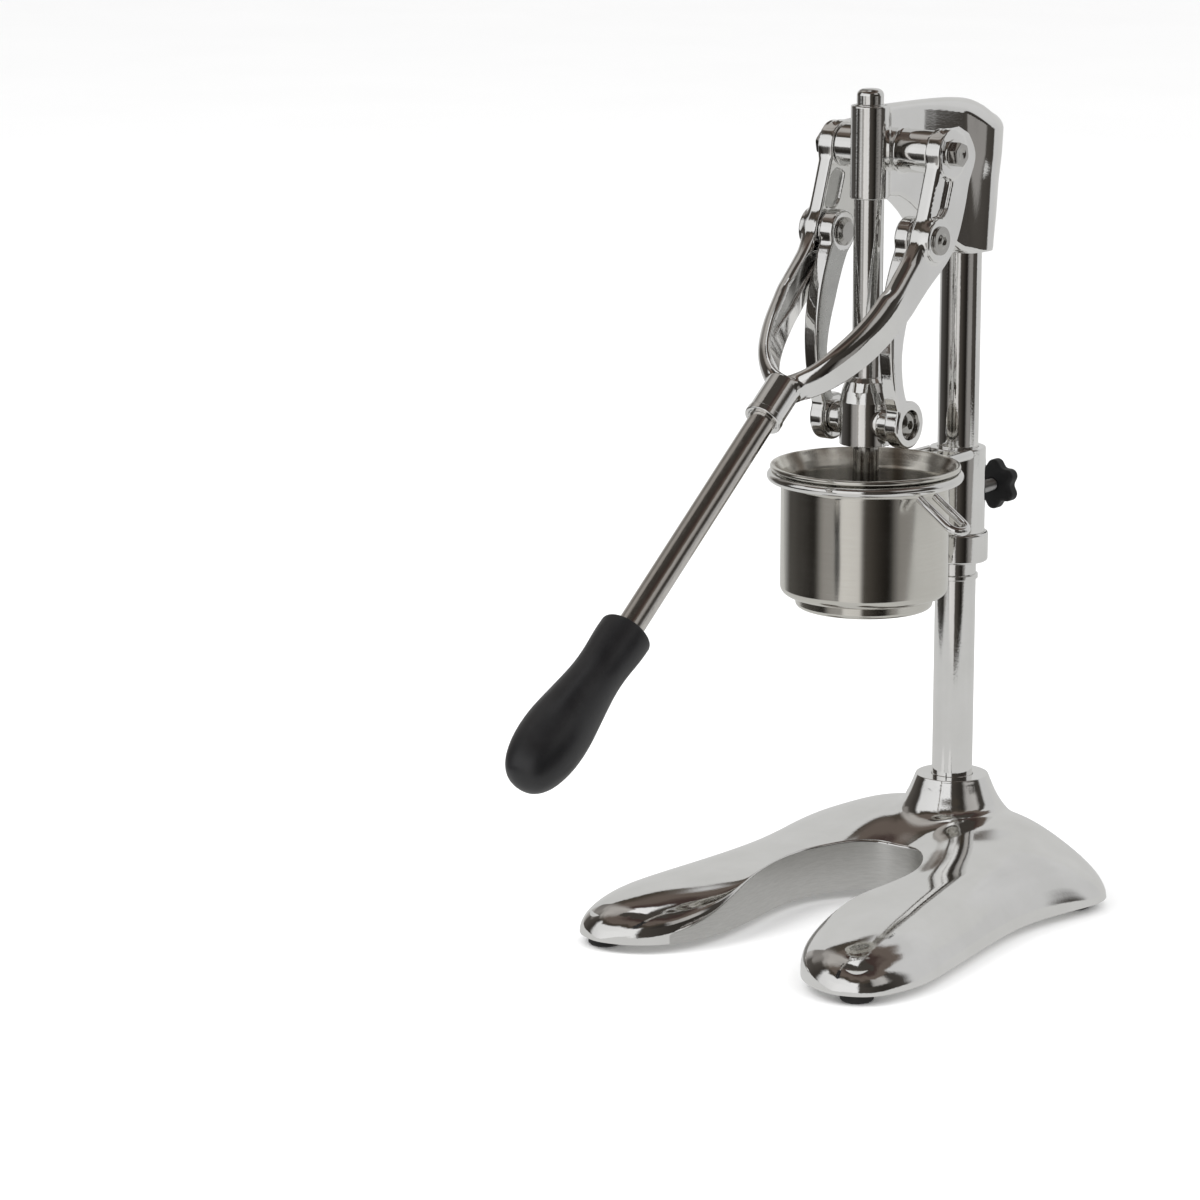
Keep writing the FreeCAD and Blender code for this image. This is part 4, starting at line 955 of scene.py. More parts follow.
turned("column", "stand", "chrome_steel", M_CHROME,
       [(11.2, 24), (12.7, 24), (12.7, 480, 0.4), (11.2, 480, 0.3)], ["column_tube"], segs=128)
turned("column_stop", "stand", "chrome_steel", M_CHROME,
       [(12.72, 197.2), (14.0, 197.2, 0.6), (14.0, 200.4, 0.6), (12.72, 200.4)], ["stop_ring"], segs=128)
turned("sleeve", "holder", "chrome_steel", M_CHROME,
       [(12.78, 227.3), (17.5, 227.3, 0.3), (17.5, 280.8, 1.0), (12.9, 280.8, 0.4)], ["holder_sleeve"], segs=128)
turned("collar", "holder", "chrome_steel", M_CHROME,
       [(12.78, 208.8), (19.85, 208.8, 1.4), (19.85, 227.3, 1.4), (12.78, 227.3)], ["holder_collar"], segs=128)
turned("rod", "plunger", "chrome_steel", M_CHROME,
       [(0, 225), (8.0, 225), (8.0, 306), (9.0, 306, 0.2), (9.0, 501.9, 0.5), (0, 501.9)], ["plunger_rod"],
       (0, ROD_Y, 0), segs=128, second=(M_BOLT, lambda c, n: c[:, 2] < 298))
turned("cap", "plunger", "chrome_steel", M_CHROME,
       [(0, 501.9), (8.05, 501.9, 0.3), (8.05, 511.0, 7.3), (0, 511.0)], ["rod_cap"], (0, ROD_Y, 0), segs=96, steps=14)
turned("disc", "plunger", "stainless", M_CUP,
       [(8.0, 225), (3.1, 225), (3.1, 224), (6.2, 222), (49.3, 222, 0.8), (49.3, 228, 0.6), (46.9, 228, 0.6),
        (46.3, 225.2, 0.8), (17, 225.6, 2), (13.5, 228, 1.5), (12.0, 238, 0.8), (11.2, 239, 0.4), (8.0, 239)],
       ["press_disc"], (0, ROD_Y, 0), segs=144)
# the cup's inner faces get the steel with painted light and shade: upright bands of painted reflection
turned("cup_body", "pot", "stainless", M_CUP,
       [(37.8, 200.6), (39.4, 200.6, 0.2), (39.4, 205, 0.6), (51.0, 205, 8.0), (51.0, 273.5, 9.0), (52.9, 278.5, 4.0),
        (54.9, 281.9, 0.7), (57.6, 281.9, 1.5), (57.6, 285.0, 1.5), (55.0, 285.0, 1.3), (53.9, 282.6, 2.0),
        (51.7, 278.8, 4.0), (49.8, 273.8, 9.0), (49.8, 206.2, 6.8), (37.8, 206.2, 0.3)],
       ["cup"], (0, ROD_Y, 0), segs=192, steps=12,
       second=(M_CUP_INSIDE_PAINTED_LIGHT, lambda c, n: ((c[:, 0] * n[:, 0] + (c[:, 1] - ROD_Y) * n[:, 1]) < 0) & (c[:, 2] > 206)))
turned("ring_of_die", "ring", "stainless", M_CUP,
       [(34.5, 197.5, 0.3), (41.65, 197.5, 2.6), (41.65, 204.6, 0.3), (39.7, 204.6), (39.7, 198.7), (34.5, 198.7, 0.3)],
       ["die_ring"], (0, ROD_Y, 0), segs=144)

# handle tube and grip
turned("tube_of_handle", "lever", "stainless", M_TUBE,
       [(6.8, 5), (8.0, 5), (8.0, 298.4), (6.8, 298.4)], ["handle_tube"], SEAT, ALONG, segs=96)


def grip_outline():
    at = [1.2, 10, 20, 34, 50, 64, 75, 84, 94, 101, 106, 110.5, 114.2, 116.7, 118.05]
    ra = [15.85, 15.7, 15.0, 14.8, 16.4, 18.3, 19.55, 19.85, 19.2, 17.9, 16.4, 14.3, 11.5, 7.9, 4.4]
    s = np.concatenate([np.linspace(1.2, 99, 70), np.linspace(99.5, 118.05, 32)])
    r = smooth_curve(at, ra, s)
    return s, r


def make_grip():
    s, r = grip_outline()
    b = Build()
    seg = 112
    P = [(7.9, 0.0), (14.4, 0.0), (15.1, 0.15), (15.6, 0.5)] + list(zip(r, s)) + [(2.2, 118.45), (0.0, 118.6)]
    P = np.array(P, float)
    T = np.gradient(P, axis=0)
    N = np.stack([T[:, 1], -T[:, 0]], 1)
    N[0] = N[1] = (0, -1)
    N[2] = (0.5, -0.85)
    N[3] = (0.93, -0.3)
    N[-1] = (0, 1)
    th = np.arange(seg) * 2 * math.pi / seg
    V = np.zeros((seg, len(P), 3))
    W = np.zeros((seg, len(P), 3))
    V[:, :, 0], V[:, :, 1], V[:, :, 2] = np.cos(th)[:, None] * P[:, 0], np.sin(th)[:, None] * P[:, 0], P[:, 1]
    W[:, :, 0], W[:, :, 1], W[:, :, 2] = np.cos(th)[:, None] * N[:, 0], np.sin(th)[:, None] * N[:, 0], N[:, 1]
    m = len(P)
    F = []
    for i in range(seg):
        j = (i + 1) % seg
        for k in range(m - 1):
            if k == m - 2:
                F.append((i * m + k, j * m + k, i * m + k + 1))
            else:
                F.append((i * m + k, j * m + k, j * m + k + 1, i * m + k + 1))
    q = math.radians(2.9)
    b.add(*placed((V.reshape(-1, 3), F, W.reshape(-1, 3)), SEAT + ALONG * 195.5,
                  ALONG * math.cos(q) + FRONT * math.sin(q)))
    b.object("handle_grip", "lever", "grip_black", M_GRIP, "grip")


make_grip()

# feet
b = Build()
for sx in (1, -1):
    for fx, fy in ((92.0, -241.0), (93.0, -2.0)):
        b.add(*placed(lathe([(2.6, 3.0), (5.4, 3.0, 0.3), (5.4, 0.0, 0.3), (8.8, 0.0, 0.5), (10.0, 1.2, 0.6),
                             (10.0, 6.0), (2.6, 6.0)], 48), (sx * fx, fy, 0)))
b.object("feet", "stand", "foot_rubber", M_RUBBER, "rubber_feet")

# =====================================================================
# fork lever
# =====================================================================
UPPER = [((-90.0, 481.5), (-60.5, 483.5)), ((-93.0, 470.0), (-53.3, 470.5)), ((-97.4, 456.5), (-58.6, 456.5)),
         ((-101.8, 443.5), (-62.3, 444.5)), ((-106.0, 432.8), (-66.6, 432.0)), ((-111.5, 422.5), (-72.3, 420.0)),
         ((-118.5, 413.8), (-81.5, 409.3)), ((-127.5, 405.2), (-95.5, 399.6)), ((-136.0, 397.8), (-110.5, 388.6))]
LOWER = [(37.0, -137.5, 381.8, 11.6, 12, 0), (34.6, -149.0, 372.5, 11.1, 24, 0), (30.5, -160.5, 363.8, 10.6, 38, 0),
         (24.8, -171.0, 356.2, 10.0, 54, 0.2), (17.4, -179.8, 350.2, 8.9, 69, 1.1), (9.0, -185.6, 346.4, 8.0, 81, 1.9),
         (0.0, -187.9, 344.8, 6.8, 90, 3.0)]
AI, AO = 33.3, 43.6


def fork_stations():
    C, W, Nn, H = [], [], [], []
    for f, k in UPPER:
        C.append([(AI + AO) / 2, (f[0] + k[0]) / 2, (f[1] + k[1]) / 2])
        w = np.array([0, f[0] - k[0], f[1] - k[1]])
        H.append(np.linalg.norm(w) / 2)
        W.append(w / np.linalg.norm(w))
        Nn.append([1.0, 0, 0])
    for x, y, z, hw, tdeg, low in LOWER:
        q = math.radians(tdeg)
        C.append(np.array([x, y, z]) - FRONT * low)
        W.append(FRONT)
        Nn.append(np.array([math.cos(q), 0, 0]) + ALONG * math.sin(q))
        H.append(hw)
    C, W, Nn, H = np.array(C, float), np.array(W, float), np.array(Nn, float), np.array(H, float)
    s = np.concatenate([[0], np.cumsum(np.linalg.norm(np.diff(C, axis=0), axis=1))])
    t = np.linspace(0, s[-1], 1801)
    out = [np.stack([smooth_curve(s, A[:, i], t) for i in range(3)], 1) for A in (C, W, Nn)]
    Hh = smooth_curve(s, H, t)
    C, W, Nn = out
    W /= np.linalg.norm(W, axis=1)[:, None]
    Nn -= W * (Nn * W).sum(1)[:, None]
    Nn /= np.linalg.norm(Nn, axis=1)[:, None]
    T = np.cross(W, Nn)
    T /= np.linalg.norm(T, axis=1)[:, None]
    tang = np.gradient(C, axis=0)
    return t, C, W, Nn, float(np.sign((tang * T).sum(1).mean())), Hh


FS_T, FS_C, FS_W, FS_N, FS_SIGN, FS_H = fork_stations()


def fork_local(p):
    """Station, and position across (w) and through (n) the arm."""
    X = np.stack(p, 1).astype(float)
    X[:, 0] = np.abs(X[:, 0])
    last = len(FS_C) - 1
    ds = FS_T[1] - FS_T[0]
    coarse = np.arange(0, len(FS_C), 30)
    C = FS_C[coarse]
    q = np.zeros(len(X))
    far = np.zeros(len(X))
    for a in range(0, len(X), 200000):
        d = ((X[a:a + 200000, None, :] - C[None]) ** 2).sum(2)
        k = d.argmin(1)
        q[a:a + 200000] = coarse[k]
        far[a:a + 200000] = np.sqrt(d[np.arange(len(k)), k])
    near = np.flatnonzero(far < 30.0)
    Y, qn = X[near], q[near]

    def lerp(A, k, fr):
        return A[k] * (1 - fr) + A[k + 1] * fr
    for _ in range(7):
        k = np.minimum(qn.astype(int), last - 1)
        fr = (qn - k)[:, None]
        c = lerp(FS_C, k, fr)
        w, n = lerp(FS_W, k, fr), lerp(FS_N, k, fr)
        t = ((Y - c) * np.cross(w, n)).sum(1) * FS_SIGN
        qn = np.clip(qn + 0.9 * t / ds, 0, last)
    k = np.minimum(qn.astype(int), last - 1)
    fr = (qn - k)[:, None]
    c, w, n = lerp(FS_C, k, fr), lerp(FS_W, k, fr), lerp(FS_N, k, fr)
    d = Y - c
    t = ((d * np.cross(w, n)).sum(1)) * FS_SIGN
    s = np.zeros(len(X))
    aa = np.full(len(X), 40.0)
    bb = np.full(len(X), 40.0)
    H = np.full(len(X), 10.0)
    out = np.zeros(len(X))
    s[near] = qn * ds
    aa[near], bb[near] = (d * w).sum(1), (d * n).sum(1)
    H[near] = lerp(FS_H[:, None], k, fr)[:, 0]
    out[near] = np.where((qn <= 0) | (qn >= last), np.abs(t), 0)
    return s, aa, bb, H, out


def sd_capsule2(x, y, ax, ay, bx, by, ra, rb):
    ex, ey = bx - ax, by - ay
    t = np.clip(((x - ax) * ex + (y - ay) * ey) / (ex * ex + ey * ey), 0, 1)
    return length2(x - ax - ex * t, y - ay - ey * t) - (ra + (rb - ra) * t)


def station_at(y, z):
    return float(FS_T[((FS_C[:, 1] - y) ** 2 + (FS_C[:, 2] - z) ** 2).argmin()])


S_PIV, S_MID = station_at(*PIV), station_at(-93.0, 423.5)
S_END = float(FS_T[-1])


def sd_fork(p):
    s, a, b, H, out = fork_local(p)
    T = 5.15
    # rounded section: broad rounding at the outer front edge
    r = np.where(a > 0, 2.4, 1.5)
    qa, qb = np.abs(a) - (H - r), np.abs(b) - (T - r)
    d = np.minimum(np.maximum(qa, qb), 0) + length2(np.maximum(qa, 0), np.maximum(qb, 0)) - r
    wide = np.clip((s - S_MID + 4.0) / 22.0, 0, 1)
    wide = wide * wide * (3 - 2 * wide)
    ra, rb = 3.4 + (np.minimum(9.5, H * 1.05) - 3.4) * wide, T * (0.8 + 0.55 * wide)
    ea, eb = np.maximum(a - (H - ra), 0), np.maximum(b - (T - rb), 0)
    k = np.sqrt((ea / ra) ** 2 + (eb / rb) ** 2) + 1e-9
    ell = (k - 1) * k / np.maximum(np.sqrt((ea / ra ** 2) ** 2 + (eb / rb ** 2) ** 2), 1e-6)
    d = np.where((a > H - ra) & (b > T - rb), np.maximum(d, ell), d)
    d = np.sqrt(np.maximum(d, 0) ** 2 + out ** 2) + np.minimum(d, 0)
    # pockets in the outer face, in the arm's own plan (station, width)
    ac = H - 3.2
    up0, up1 = S_PIV + 21.5, S_MID - 21.5
    pu = sd_capsule2(s, a - (ac - 7.6), up0, 0.0, up1, 0.0, 8.2, 8.2)
    pocket = extrude(pu, b - T, 3.0, 2.0)
    lo0, lo1 = S_MID + 22.0, S_MID + 92.0
    rr = np.interp(s, [lo0 - 5, lo0 + 10, lo0 + 40, lo1], [7.4, 7.2, 5.6, 2.0])
    pl = sd_capsule2(s, a - (H - 3.4 - rr), lo0, 0.0, lo1, 0.0, 0.0, 0.0) - rr
    plan = np.minimum(pu, pl)
    pocket_in = extrude(plan + 0.6, b + T, 1.8, 1.2)
    d = smax(d, -pocket, 0.9)
    d = smax(d, -pocket_in, 0.9)
    ax = [np.abs(p[0]), p[1], p[2]]
    xm = (AI + AO) / 2
    hub = sd_cyl(ax, 0, (xm, PIV[0], PIV[1]), 14.6, (AO - AI) / 2, 1.0)
    d = smin(d, hub, 2.2)
    boss = sd_cyl(ax, 0, ((AI + AO + 3.2) / 2, MID[0], MID[1]), 13.0, (AO + 3.2 - AI) / 2, 1.2)
    d = smin(d, boss, 2.6)
    sock = sd_cyl_dir(ax, SEAT, ALONG, 11.0, 0.0, 29.0, 1.2)
    d = smin(d, sock, 3.5)
    # clean faces where the head's hub and the links run
    d = smax(d, -sd_cyl(ax, 0, (AI - 10, PIV[0], PIV[1]), 16.5, 10.0, 0.3), 0.4)
    d = smax(d, -sd_cyl(ax, 0, (AI - 10, MID[0], MID[1]), 15.5, 10.0, 0.3), 0.4)
    # raised faces next to the links
    d = smin(d, sd_cyl(ax, 0, (34.0, MID[0], MID[1]), 10.6, 1.62, 0.3), 0.2)
    # bores
    q = [ax[0] - SEAT[0], ax[1] - SEAT[1], ax[2] - SEAT[2]]
    al = q[0] * ALONG[0] + q[1] * ALONG[1] + q[2] * ALONG[2]
    rad = np.sqrt(np.maximum(q[0] ** 2 + q[1] ** 2 + q[2] ** 2 - al ** 2, 1e-12))
    d = smax(d, -extrude(rad - 8.05, al - 35.0, 30.0, 0.2), 0.3)
    return d


def make_fork():
    b = Build()
    step = 0.95
    v, f, n = iso_mesh(sd_fork, (-48, -217, 322), (48, -50, 499), step, 0.12)
    b.add(v, f, n)
    b.add(*placed(lathe([(8.1, 24.6), (11.5, 24.6, 0.5), (11.5, 29.0, 0.9), (8.1, 29.0, 0.3)], 96, True, 8), SEAT, ALONG))

    def as_cast(cen, nor):
        s_, a_, b_, H_, out_ = fork_local([cen[:, i] for i in range(3)])
        floor = np.abs(b_ + 3.35) < 0.4
        return floor & (np.abs(a_) < H_ - 2.0) & (s_ > S_PIV + 8) \
            & (s_ < S_MID + 96) & (out_ < 0.1) \
            & (np.hypot(cen[:, 1] - MID[0], cen[:, 2] - MID[1]) > 13.6) \
            & (np.hypot(cen[:, 1] - PIV[0], cen[:, 2] - PIV[1]) > 15.2)
    b.object("fork", "lever", "chrome_casting", M_CAST, "fork_lever", second=(M_FETTLED, as_cast))


make_fork()

# =====================================================================
# links
# =====================================================================
BACK = [(0, 11.5), (0.2, 11.6), (0.34, 10.8), (0.47, 8.0), (0.55, 6.0), (0.64, 4.2), (0.8, 3.0), (1, 4.5)]


def link_outline():
    p0 = np.array(MID)
    p2 = np.array([ROD_Y, LOW_Z])
    pm = (p0 + p2) / 2 + np.array([-17.0, 0])
    ax, ay, bx, by, cx, cy = *p0, *pm, *p2
    d = 2 * (ax * (by - cy) + bx * (cy - ay) + cx * (ay - by))
    ux = ((ax ** 2 + ay ** 2) * (by - cy) + (bx ** 2 + by ** 2) * (cy - ay) + (cx ** 2 + cy ** 2) * (ay - by)) / d
    uy = ((ax ** 2 + ay ** 2) * (cx - bx) + (bx ** 2 + by ** 2) * (ax - cx) + (cx ** 2 + cy ** 2) * (bx - ax)) / d
    rad = math.hypot(ax - ux, ay - uy)
    a0 = math.degrees(math.atan2(ay - uy, ax - ux)) % 360
    a1 = math.degrees(math.atan2(cy - uy, cx - ux)) % 360
    t = np.linspace(0, 1, 40)
    th = np.radians(a0 + (a1 - a0) * t)
    outer = np.stack([ux + (rad + 7) * np.cos(th), uy + (rad + 7) * np.sin(th)], 1)
    back = smooth_table(*zip(*BACK), t)
    inner = np.stack([ux + (rad - back) * np.cos(th), uy + (rad - back) * np.sin(th)], 1)
    return np.concatenate([outer, inner[::-1]])


LINK_LINE = link_outline()


def sd_link(p):
    x = np.abs(p[0])
    d = sd_polygon(p[1], p[2], LINK_LINE)
    d = smin(d, length2(p[1] - MID[0], p[2] - MID[1]) - 13.0, 2.0)
    d = smin(d, length2(p[1] - ROD_Y, p[2] - LOW_Z) - 14.4, 2.5)
    s = extrude(d, x - 27.0, 5.0, 1.7)
    rec = extrude(length2(p[1] - ROD_Y, p[2] - LOW_Z) - 9.0, x - 33.0, 5.0, 0.3)
    s = smax(s, -rec, 0.5)
    return s


def make_link(name, side, node, body):
    b = Build()
    lo = (20.5, -128, 296) if side > 0 else (-33.5, -128, 296)
    hi = (33.5, -74, 438) if side > 0 else (-20.5, -74, 438)
    b.add(*iso_mesh(sd_link, lo, hi, 0.8))
    b.object(name, body, "chrome_casting", M_CAST, node,
             second=(M_FETTLED, lambda c, n: (np.abs(c[:, 0]) < 22.4) & (n[:, 0] * side < -0.8)
                     & (np.hypot(c[:, 1] - ROD_Y, c[:, 2] - LOW_Z) > 12.5)
                     & (np.hypot(c[:, 1] - MID[0], c[:, 2] - MID[1]) > 11.5)))


make_link("bowed_link_right", 1, "link_right", "link_right_body")
make_link("bowed_link_left", -1, "link_left", "link_left_body")


def screw_head(r=8.7, h=4.2, slot=True):
    """Low domed head with a hexagon socket, and its shank."""
    def f(p):
        rad = length2(p[0], p[1])
        dome = np.sqrt(rad ** 2 + (p[2] + 9.0) ** 2) - (h + 9.0)
        d = extrude(rad - r, p[2] - h / 2, h / 2, 0.7)
        d = smax(d, dome, 0.6)
        hexa = np.maximum.reduce([np.abs(p[0] * math.cos(t) + p[1] * math.sin(t)) for t in (0, math.pi / 3, 2 * math.pi / 3)]) - 2.5
        d = smax(d, -np.maximum(hexa, -(p[2] - h + 2.2)), 0.3)
        return smin(d, extrude(rad - 4.0, p[2] + 3.0, 3.6, 0.2), 0.2)
    return f


def make_link_bolts():
    f = screw_head()
    v, q, n = iso_mesh(f, (-10, -10, -8), (10, 10, 6), 0.45)
    for name, side, node, body in (("bolt_low_right", 1, "right_link_bolt", "link_right_body"),
                                   ("bolt_low_left", -1, "left_link_bolt", "link_left_body")):
        b = Build()
        b.add(*placed((v, q, n), (side * 28.0, ROD_Y, LOW_Z), (side, 0, 0), (0, 0, 1)))
        b.object(name, body, "chrome_steel", M_BOLT, node)


make_link_bolts()


def make_top_bolts():
    """Shouldered bolts of the links' upper eyes: domed outer head in a ring, round inner head."""
    def head(p):
        rad = length2(p[0], p[1])
        d = extrude(rad - 8.6, p[2] - 0.8, 0.8, 0.5)
        dome = np.sqrt(rad ** 2 + (p[2] + 3.6) ** 2) - 7.0
        d = smin(d, smax(dome, rad - 6.1, 0.5), 0.4)
        hexa = np.maximum.reduce([np.abs(p[0] * math.cos(t) + p[1] * math.sin(t)) for t in (0, math.pi / 3, 2 * math.pi / 3)]) - 2.4
        d = smax(d, -np.maximum(hexa, -(p[2] - 1.6)), 0.3)
        return smax(d, -p[2], 0.05)
    v, q, n = iso_mesh(head, (-10, -10, -1.5), (10, 10, 4.6), 0.4)
    b = Build()
    for side in (1, -1):
        b.add(*placed((v, q, n), (side * 46.8, MID[0], MID[1]), (side, 0, 0), (0, 0, 1)))
        b.add(*placed(lathe([(0, 18.8), (6.0, 18.8, 0.6), (8.6, 20.4, 0.6), (8.6, 21.8, 0.4), (4.0, 21.8),
                             (4.0, 46.8), (0, 46.8)], 64), (0, MID[0], MID[1]), (side, 0, 0)))
    b.object("bolts_top", "lever", "chrome_steel", M_BOLT, "link_top_bolts")


make_top_bolts()


def make_pivot_bolts():
    def hexhead(p):
        hexa = np.maximum.reduce([np.abs(p[0] * math.cos(t) + p[1] * math.sin(t)) for t in (0, math.pi / 3, 2 * math.pi / 3)]) - 6.5
        d = extrude(hexa, p[2] - 2.65, 2.65, 0.35)
        cone = (length2(p[0], p[1]) - 7.1) * 0.5 + (p[2] - 5.3) * 0.866 + 0.2
        d = smax(d, cone, 0.2)
        dimple = np.sqrt(p[0] ** 2 + p[1] ** 2 + (p[2] - 13.5) ** 2) - 9.0
        return smax(d, -dimple, 0.3)
    v, q, n = iso_mesh(hexhead, (-9, -9, -1), (9, 9, 6.6), 0.35)
    b, w = Build(), Build()
    for side in (1, -1):
        b.add(*placed((v, q, n), (side * 45.2, PIV[0], PIV[1]), (side, 0, 0), (0, 0.35, 1)))
        b.add(*placed(lathe([(0, 28), (4.0, 28, 0.4), (4.0, 45.3), (0, 45.3)], 48), (0, PIV[0], PIV[1]), (side, 0, 0)))
        w.add(*placed(lathe([(4.2, 43.6), (9.0, 43.6, 0.3), (9.0, 45.2, 0.5), (4.2, 45.2)], 64),
                      (0, PIV[0], PIV[1]), (side, 0, 0)))
    b.object("bolts_pivot", "lever", "chrome_steel", M_BOLT, "pivot_bolts")
    w.object("washers_pivot", "lever", "chrome_steel", M_CHROME, "pivot_washers")


make_pivot_bolts()

# =====================================================================
# head, crosshead
# =====================================================================
HEAD_R = [(395, 19.3), (405, 19.5), (427, 21.0), (447, 22.1), (464, 23.7), (480, 24.4), (498, 24.8), (512, 24.9)]
HEAD_HW = [(-112, 9.3), (-66, 9.35), (-60, 9.6), (-50, 10.9), (-40, 12.6), (-30, 14.3), (-20, 16.0), (-10, 17.6),
           (0, 18.9), (40, 19.4)]
HEAD_UNDER = [(-112, 446.3), (-95, 446.3), (-84, 445.6), (-72, 441.0), (-62, 434.5), (-50, 425.5), (-38, 416.5),
              (-27, 409.5), (-20, 406.0), (-10, 404.5), (40, 404.0)]
HEAD_TOP = [(-115, 500.6), (-95, 500.5), (-50, 499.9), (-20, 498.9), (-8, 497.9), (-1, 497.0), (7, 494.6), (14, 491.0),
            (24, 486.6), (32, 483.0), (45, 477.0)]


def sd_head(p):
    x, y, z = p
    hw = smooth_table(*zip(*HEAD_HW), y)
    under = smooth_table(*zip(*HEAD_UNDER), y)
    top = smooth_table(*zip(*HEAD_TOP), y) - 0.026 * np.minimum(np.abs(x), 26.0) ** 2
    neck = (np.abs(x) - hw) * 0.97
    neck = smax(neck, (under - z) * 0.8, 3.0)
    neck = smax(neck, np.maximum(-98.0 - y, y - 4.0), 1.5)
    cone = (length2(x, y) - smooth_table(*zip(*HEAD_R), z)) * 0.99
    cone = smax(cone, 405.0 - z, 0.7)
    d = smin(neck, cone, 4.0)
    d = smax(d, (z - top) * 0.93, 1.8)
    boss = sd_cyl(p, 2, (0, ROD_Y, (445.9 + 501.3) / 2), 11.5, (501.3 - 445.9) / 2, 0.8)
    d = smin(d, boss, 2.5)
    hub = sd_cyl(p, 0, (0, PIV[0], PIV[1]), 13.0, 33.0, 0.9)
    d = smin(d, hub, 2.0)
    d = smax(d, -(length2(x, y - ROD_Y) - 9.06), 0.25)
    d = smax(d, -np.maximum(length2(x, y) - 12.72, z - 480.0), 0.3)
    d = smax(d, -(length2(y - PIV[0], z - PIV[1]) - 7.05), 0.2)
    return d


b = Build()
b.add(*iso_mesh(sd_head, (-36, -117, 402), (36, 33, 505), 0.85))
b.object("head", "stand", "chrome_casting", M_CAST, "head_casting")


def sd_cross(p):
    x, y, z = p[0], p[1] - ROD_Y, p[2]
    rad = length2(x, y)
    prof = [(-16, 297.6), (16, 297.6), (16, 323.6), (14.8, 330.6), (12.8, 336.1), (10.5, 338.6), (-10.5, 338.6),
            (-12.8, 336.1), (-14.8, 330.6), (-16, 323.6)]
    d = sd_polygon(rad, z, prof)
    d = np.where(True, d + 1.2, d) - 1.2
    arm = sd_cyl([x, y, z], 0, (0, 0, LOW_Z), 10.0, 21.7, 0.8)
    d = smin(d, arm, 2.0)
    d = smax(d, -(rad - np.where(z > 306, 9.02, 8.02)), 0.2)
    return d


b = Build()
b.add(*iso_mesh(sd_cross, (-24, -121, 295), (24, -84, 341), 0.6))
b.object("crosshead_block", "plunger", "chrome_casting", M_CAST, "crosshead")

# =====================================================================
# holder ring, rest loop, knob
# =====================================================================
RING_Z = 278.0


def sd_ring(p):
    x, y, z = np.abs(p[0]), p[1], p[2] - RING_Z
    tor = length2(length2(p[0], y - ROD_Y) - 56.5, z) - 3.0
    y0 = ROD_Y + math.sqrt(56.5 ** 2 - 14.5 ** 2)
    t = np.clip(y, y0, -9.6)
    arm = np.sqrt((x - 14.5) ** 2 + (y - t) ** 2 + z ** 2) - 3.0
    d = smin(tor, arm, 1.6)
    return smax(d, -(length2(p[0], y) - 17.5), 0.3)


b = Build()
b.add(*iso_mesh(sd_ring, (-61, -163, 273.5), (61, -6, 282.5), 0.65))
b.object("ring_support", "holder", "chrome_steel", M_CHROME, "support_ring")

qa = math.radians(73.0)
OUT = np.array([math.sin(qa), -math.cos(qa), 0])
TAN = np.array([math.cos(qa), math.sin(qa), 0])
START = np.array([0, ROD_Y, RING_Z]) + OUT * (56.5 + 2.4) + np.array([0, 0, -4.6])
LEG = OUT * 34.0 + np.array([0, 0, -16.0])
LEG /= np.linalg.norm(LEG)


def make_loop():
    pts = [START + TAN * 6.0]
    c = START + LEG * 29.3
    for k in range(13):
        t = math.pi * k / 12
        pts.append(c + TAN * 6.0 * math.cos(t) + LEG * 6.0 * math.sin(t))
    pts.append(START - TAN * 6.0)

    def f(p):
        d = sd_path(p, pts, 2.6)
        cut = (p[0] - START[0]) * LEG[0] + (p[1] - START[1]) * LEG[1] + (p[2] - START[2]) * LEG[2]
        d = smax(d, -cut - 0.2, 0.3)
        tor = length2(length2(p[0], p[1] - ROD_Y) - 56.5, p[2] - RING_Z) - 3.0
        return smax(d, -tor, 0.1)
    P = np.array(pts)
    b = Build()
    b.add(*iso_mesh(f, P.min(0) - 4, P.max(0) + 4, 0.45))
    b.object("loop", "holder", "chrome_steel", M_CHROME, "rest_loop")


make_loop()


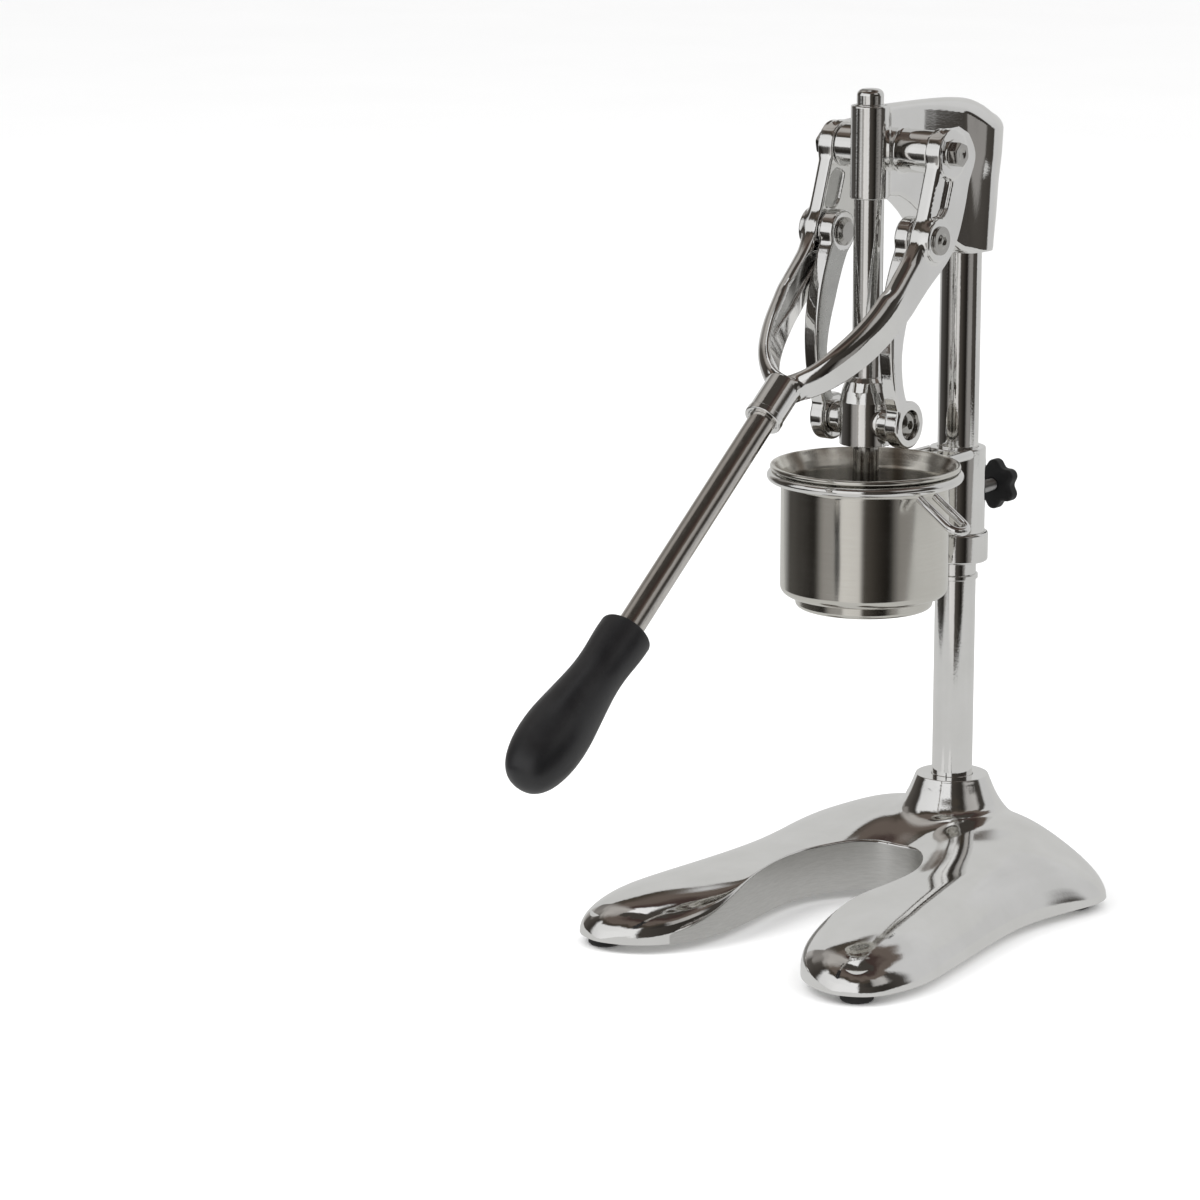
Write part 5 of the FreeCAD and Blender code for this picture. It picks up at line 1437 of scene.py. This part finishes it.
def make_knob():
    b = Build()

    def thread(p):
        rad = length2(p[0], p[1])
        th = np.arctan2(p[1], p[0])
        ph = (p[2] / 1.25 + th / (2 * math.pi)) % 1.0
        tooth = np.abs(ph - 0.5) * 2
        d = rad - (3.45 + 0.52 * np.clip(tooth * 1.15, 0, 1))
        return np.maximum(d * 0.8, np.abs(p[2] - 29.7) - 16.8)

    # screw thread as a winding ridge
    segs, turns, per = 40, 33, 40
    rows = []
    z = 13.2
    v, fcs, nrm = [], [], []
    zz = np.arange(13.0, 46.5, 1.25 / 6)
    for zi in zz:
        for k in range(segs):
            th = 2 * math.pi * k / segs
            ph = ((zi / 1.25) - th / (2 * math.pi)) % 1.0
            r = 3.45 + 0.5 * min(1.0, abs(ph - 0.5) * 2 * 1.15)
            v.append((r * math.cos(th), r * math.sin(th), zi))
    v = np.array(v)
    m = len(zz)
    for i in range(m - 1):
        for k in range(segs):
            a, c = i * segs + k, i * segs + (k + 1) % segs
            fcs.append((a, c, c + segs, a + segs))
    nrm = np.zeros_like(v)
    F = np.array(fcs)
    fn = np.cross(v[F[:, 1]] - v[F[:, 0]], v[F[:, 3]] - v[F[:, 0]])
    for q in range(4):
        np.add.at(nrm, F[:, q], fn)
    ends = len(v)
    v = np.concatenate([v, [[0, 0, zz[0]], [0, 0, zz[-1]]]])
    nrm = np.concatenate([nrm, [[0, 0, -1.0], [0, 0, 1.0]]])
    for k in range(segs):
        fcs.append((ends, (k + 1) % segs, k))
        fcs.append((ends + 1, (m - 1) * segs + k, (m - 1) * segs + (k + 1) % segs))
    b.add(*placed((v, fcs, nrm), (0, 0, 250), (0, 1, 0)))
    b.object("screw_of_knob", "knob", "plain_steel", M_PLAIN, "knob_screw")

    def star(p):
        x, y, z = p
        rad = length2(x, y)
        d = rad - 12.3
        for k in range(6):
            t = k * math.pi / 3
            d = smin(d, length2(x - 11.3 * math.cos(t), y - 11.3 * math.sin(t)) - 4.5, 2.2)
        s = extrude(d, z - 4.75, 4.75, 2.4)
        s = smax(s, -(np.sqrt(rad ** 2 + (z - 21.5) ** 2) - 13.0), 0.8)     # dished outer face
        s = smax(s, -extrude(rad - 4.0, z, 3.0, 0.1), 0.1)
        return s
    b = Build()
    b.add(*placed(iso_mesh(star, (-18, -18, -1.5), (18, 18, 11), 0.5),
                  (0, 40.0, 250.0), (0, 1, 0), (0, 0, 1)))
    b.object("knob_star", "knob", "knob_black", M_KNOB, "star_knob")


make_knob()

# =====================================================================
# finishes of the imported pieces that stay
# =====================================================================
STAY = {"foot_screws": M_PLAIN, "column_plug": M_PLAIN, "column_bolt": M_PLAIN, "column_washer": M_PLAIN,
        "head_screw": M_BLACKSCREW, "crosshead_screw": M_BLACKSCREW, "tube_screw": M_BLACKSCREW,
        "pivot_shaft": M_PLAIN, "disc_screw": M_PLAIN, "die_plate": M_CUP}
for name, mat in STAY.items():
    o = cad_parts[name]
    o.data.materials.clear()
    o.data.materials.append(mat)
    for p_ in o.data.polygons:
        p_.material_index = 0
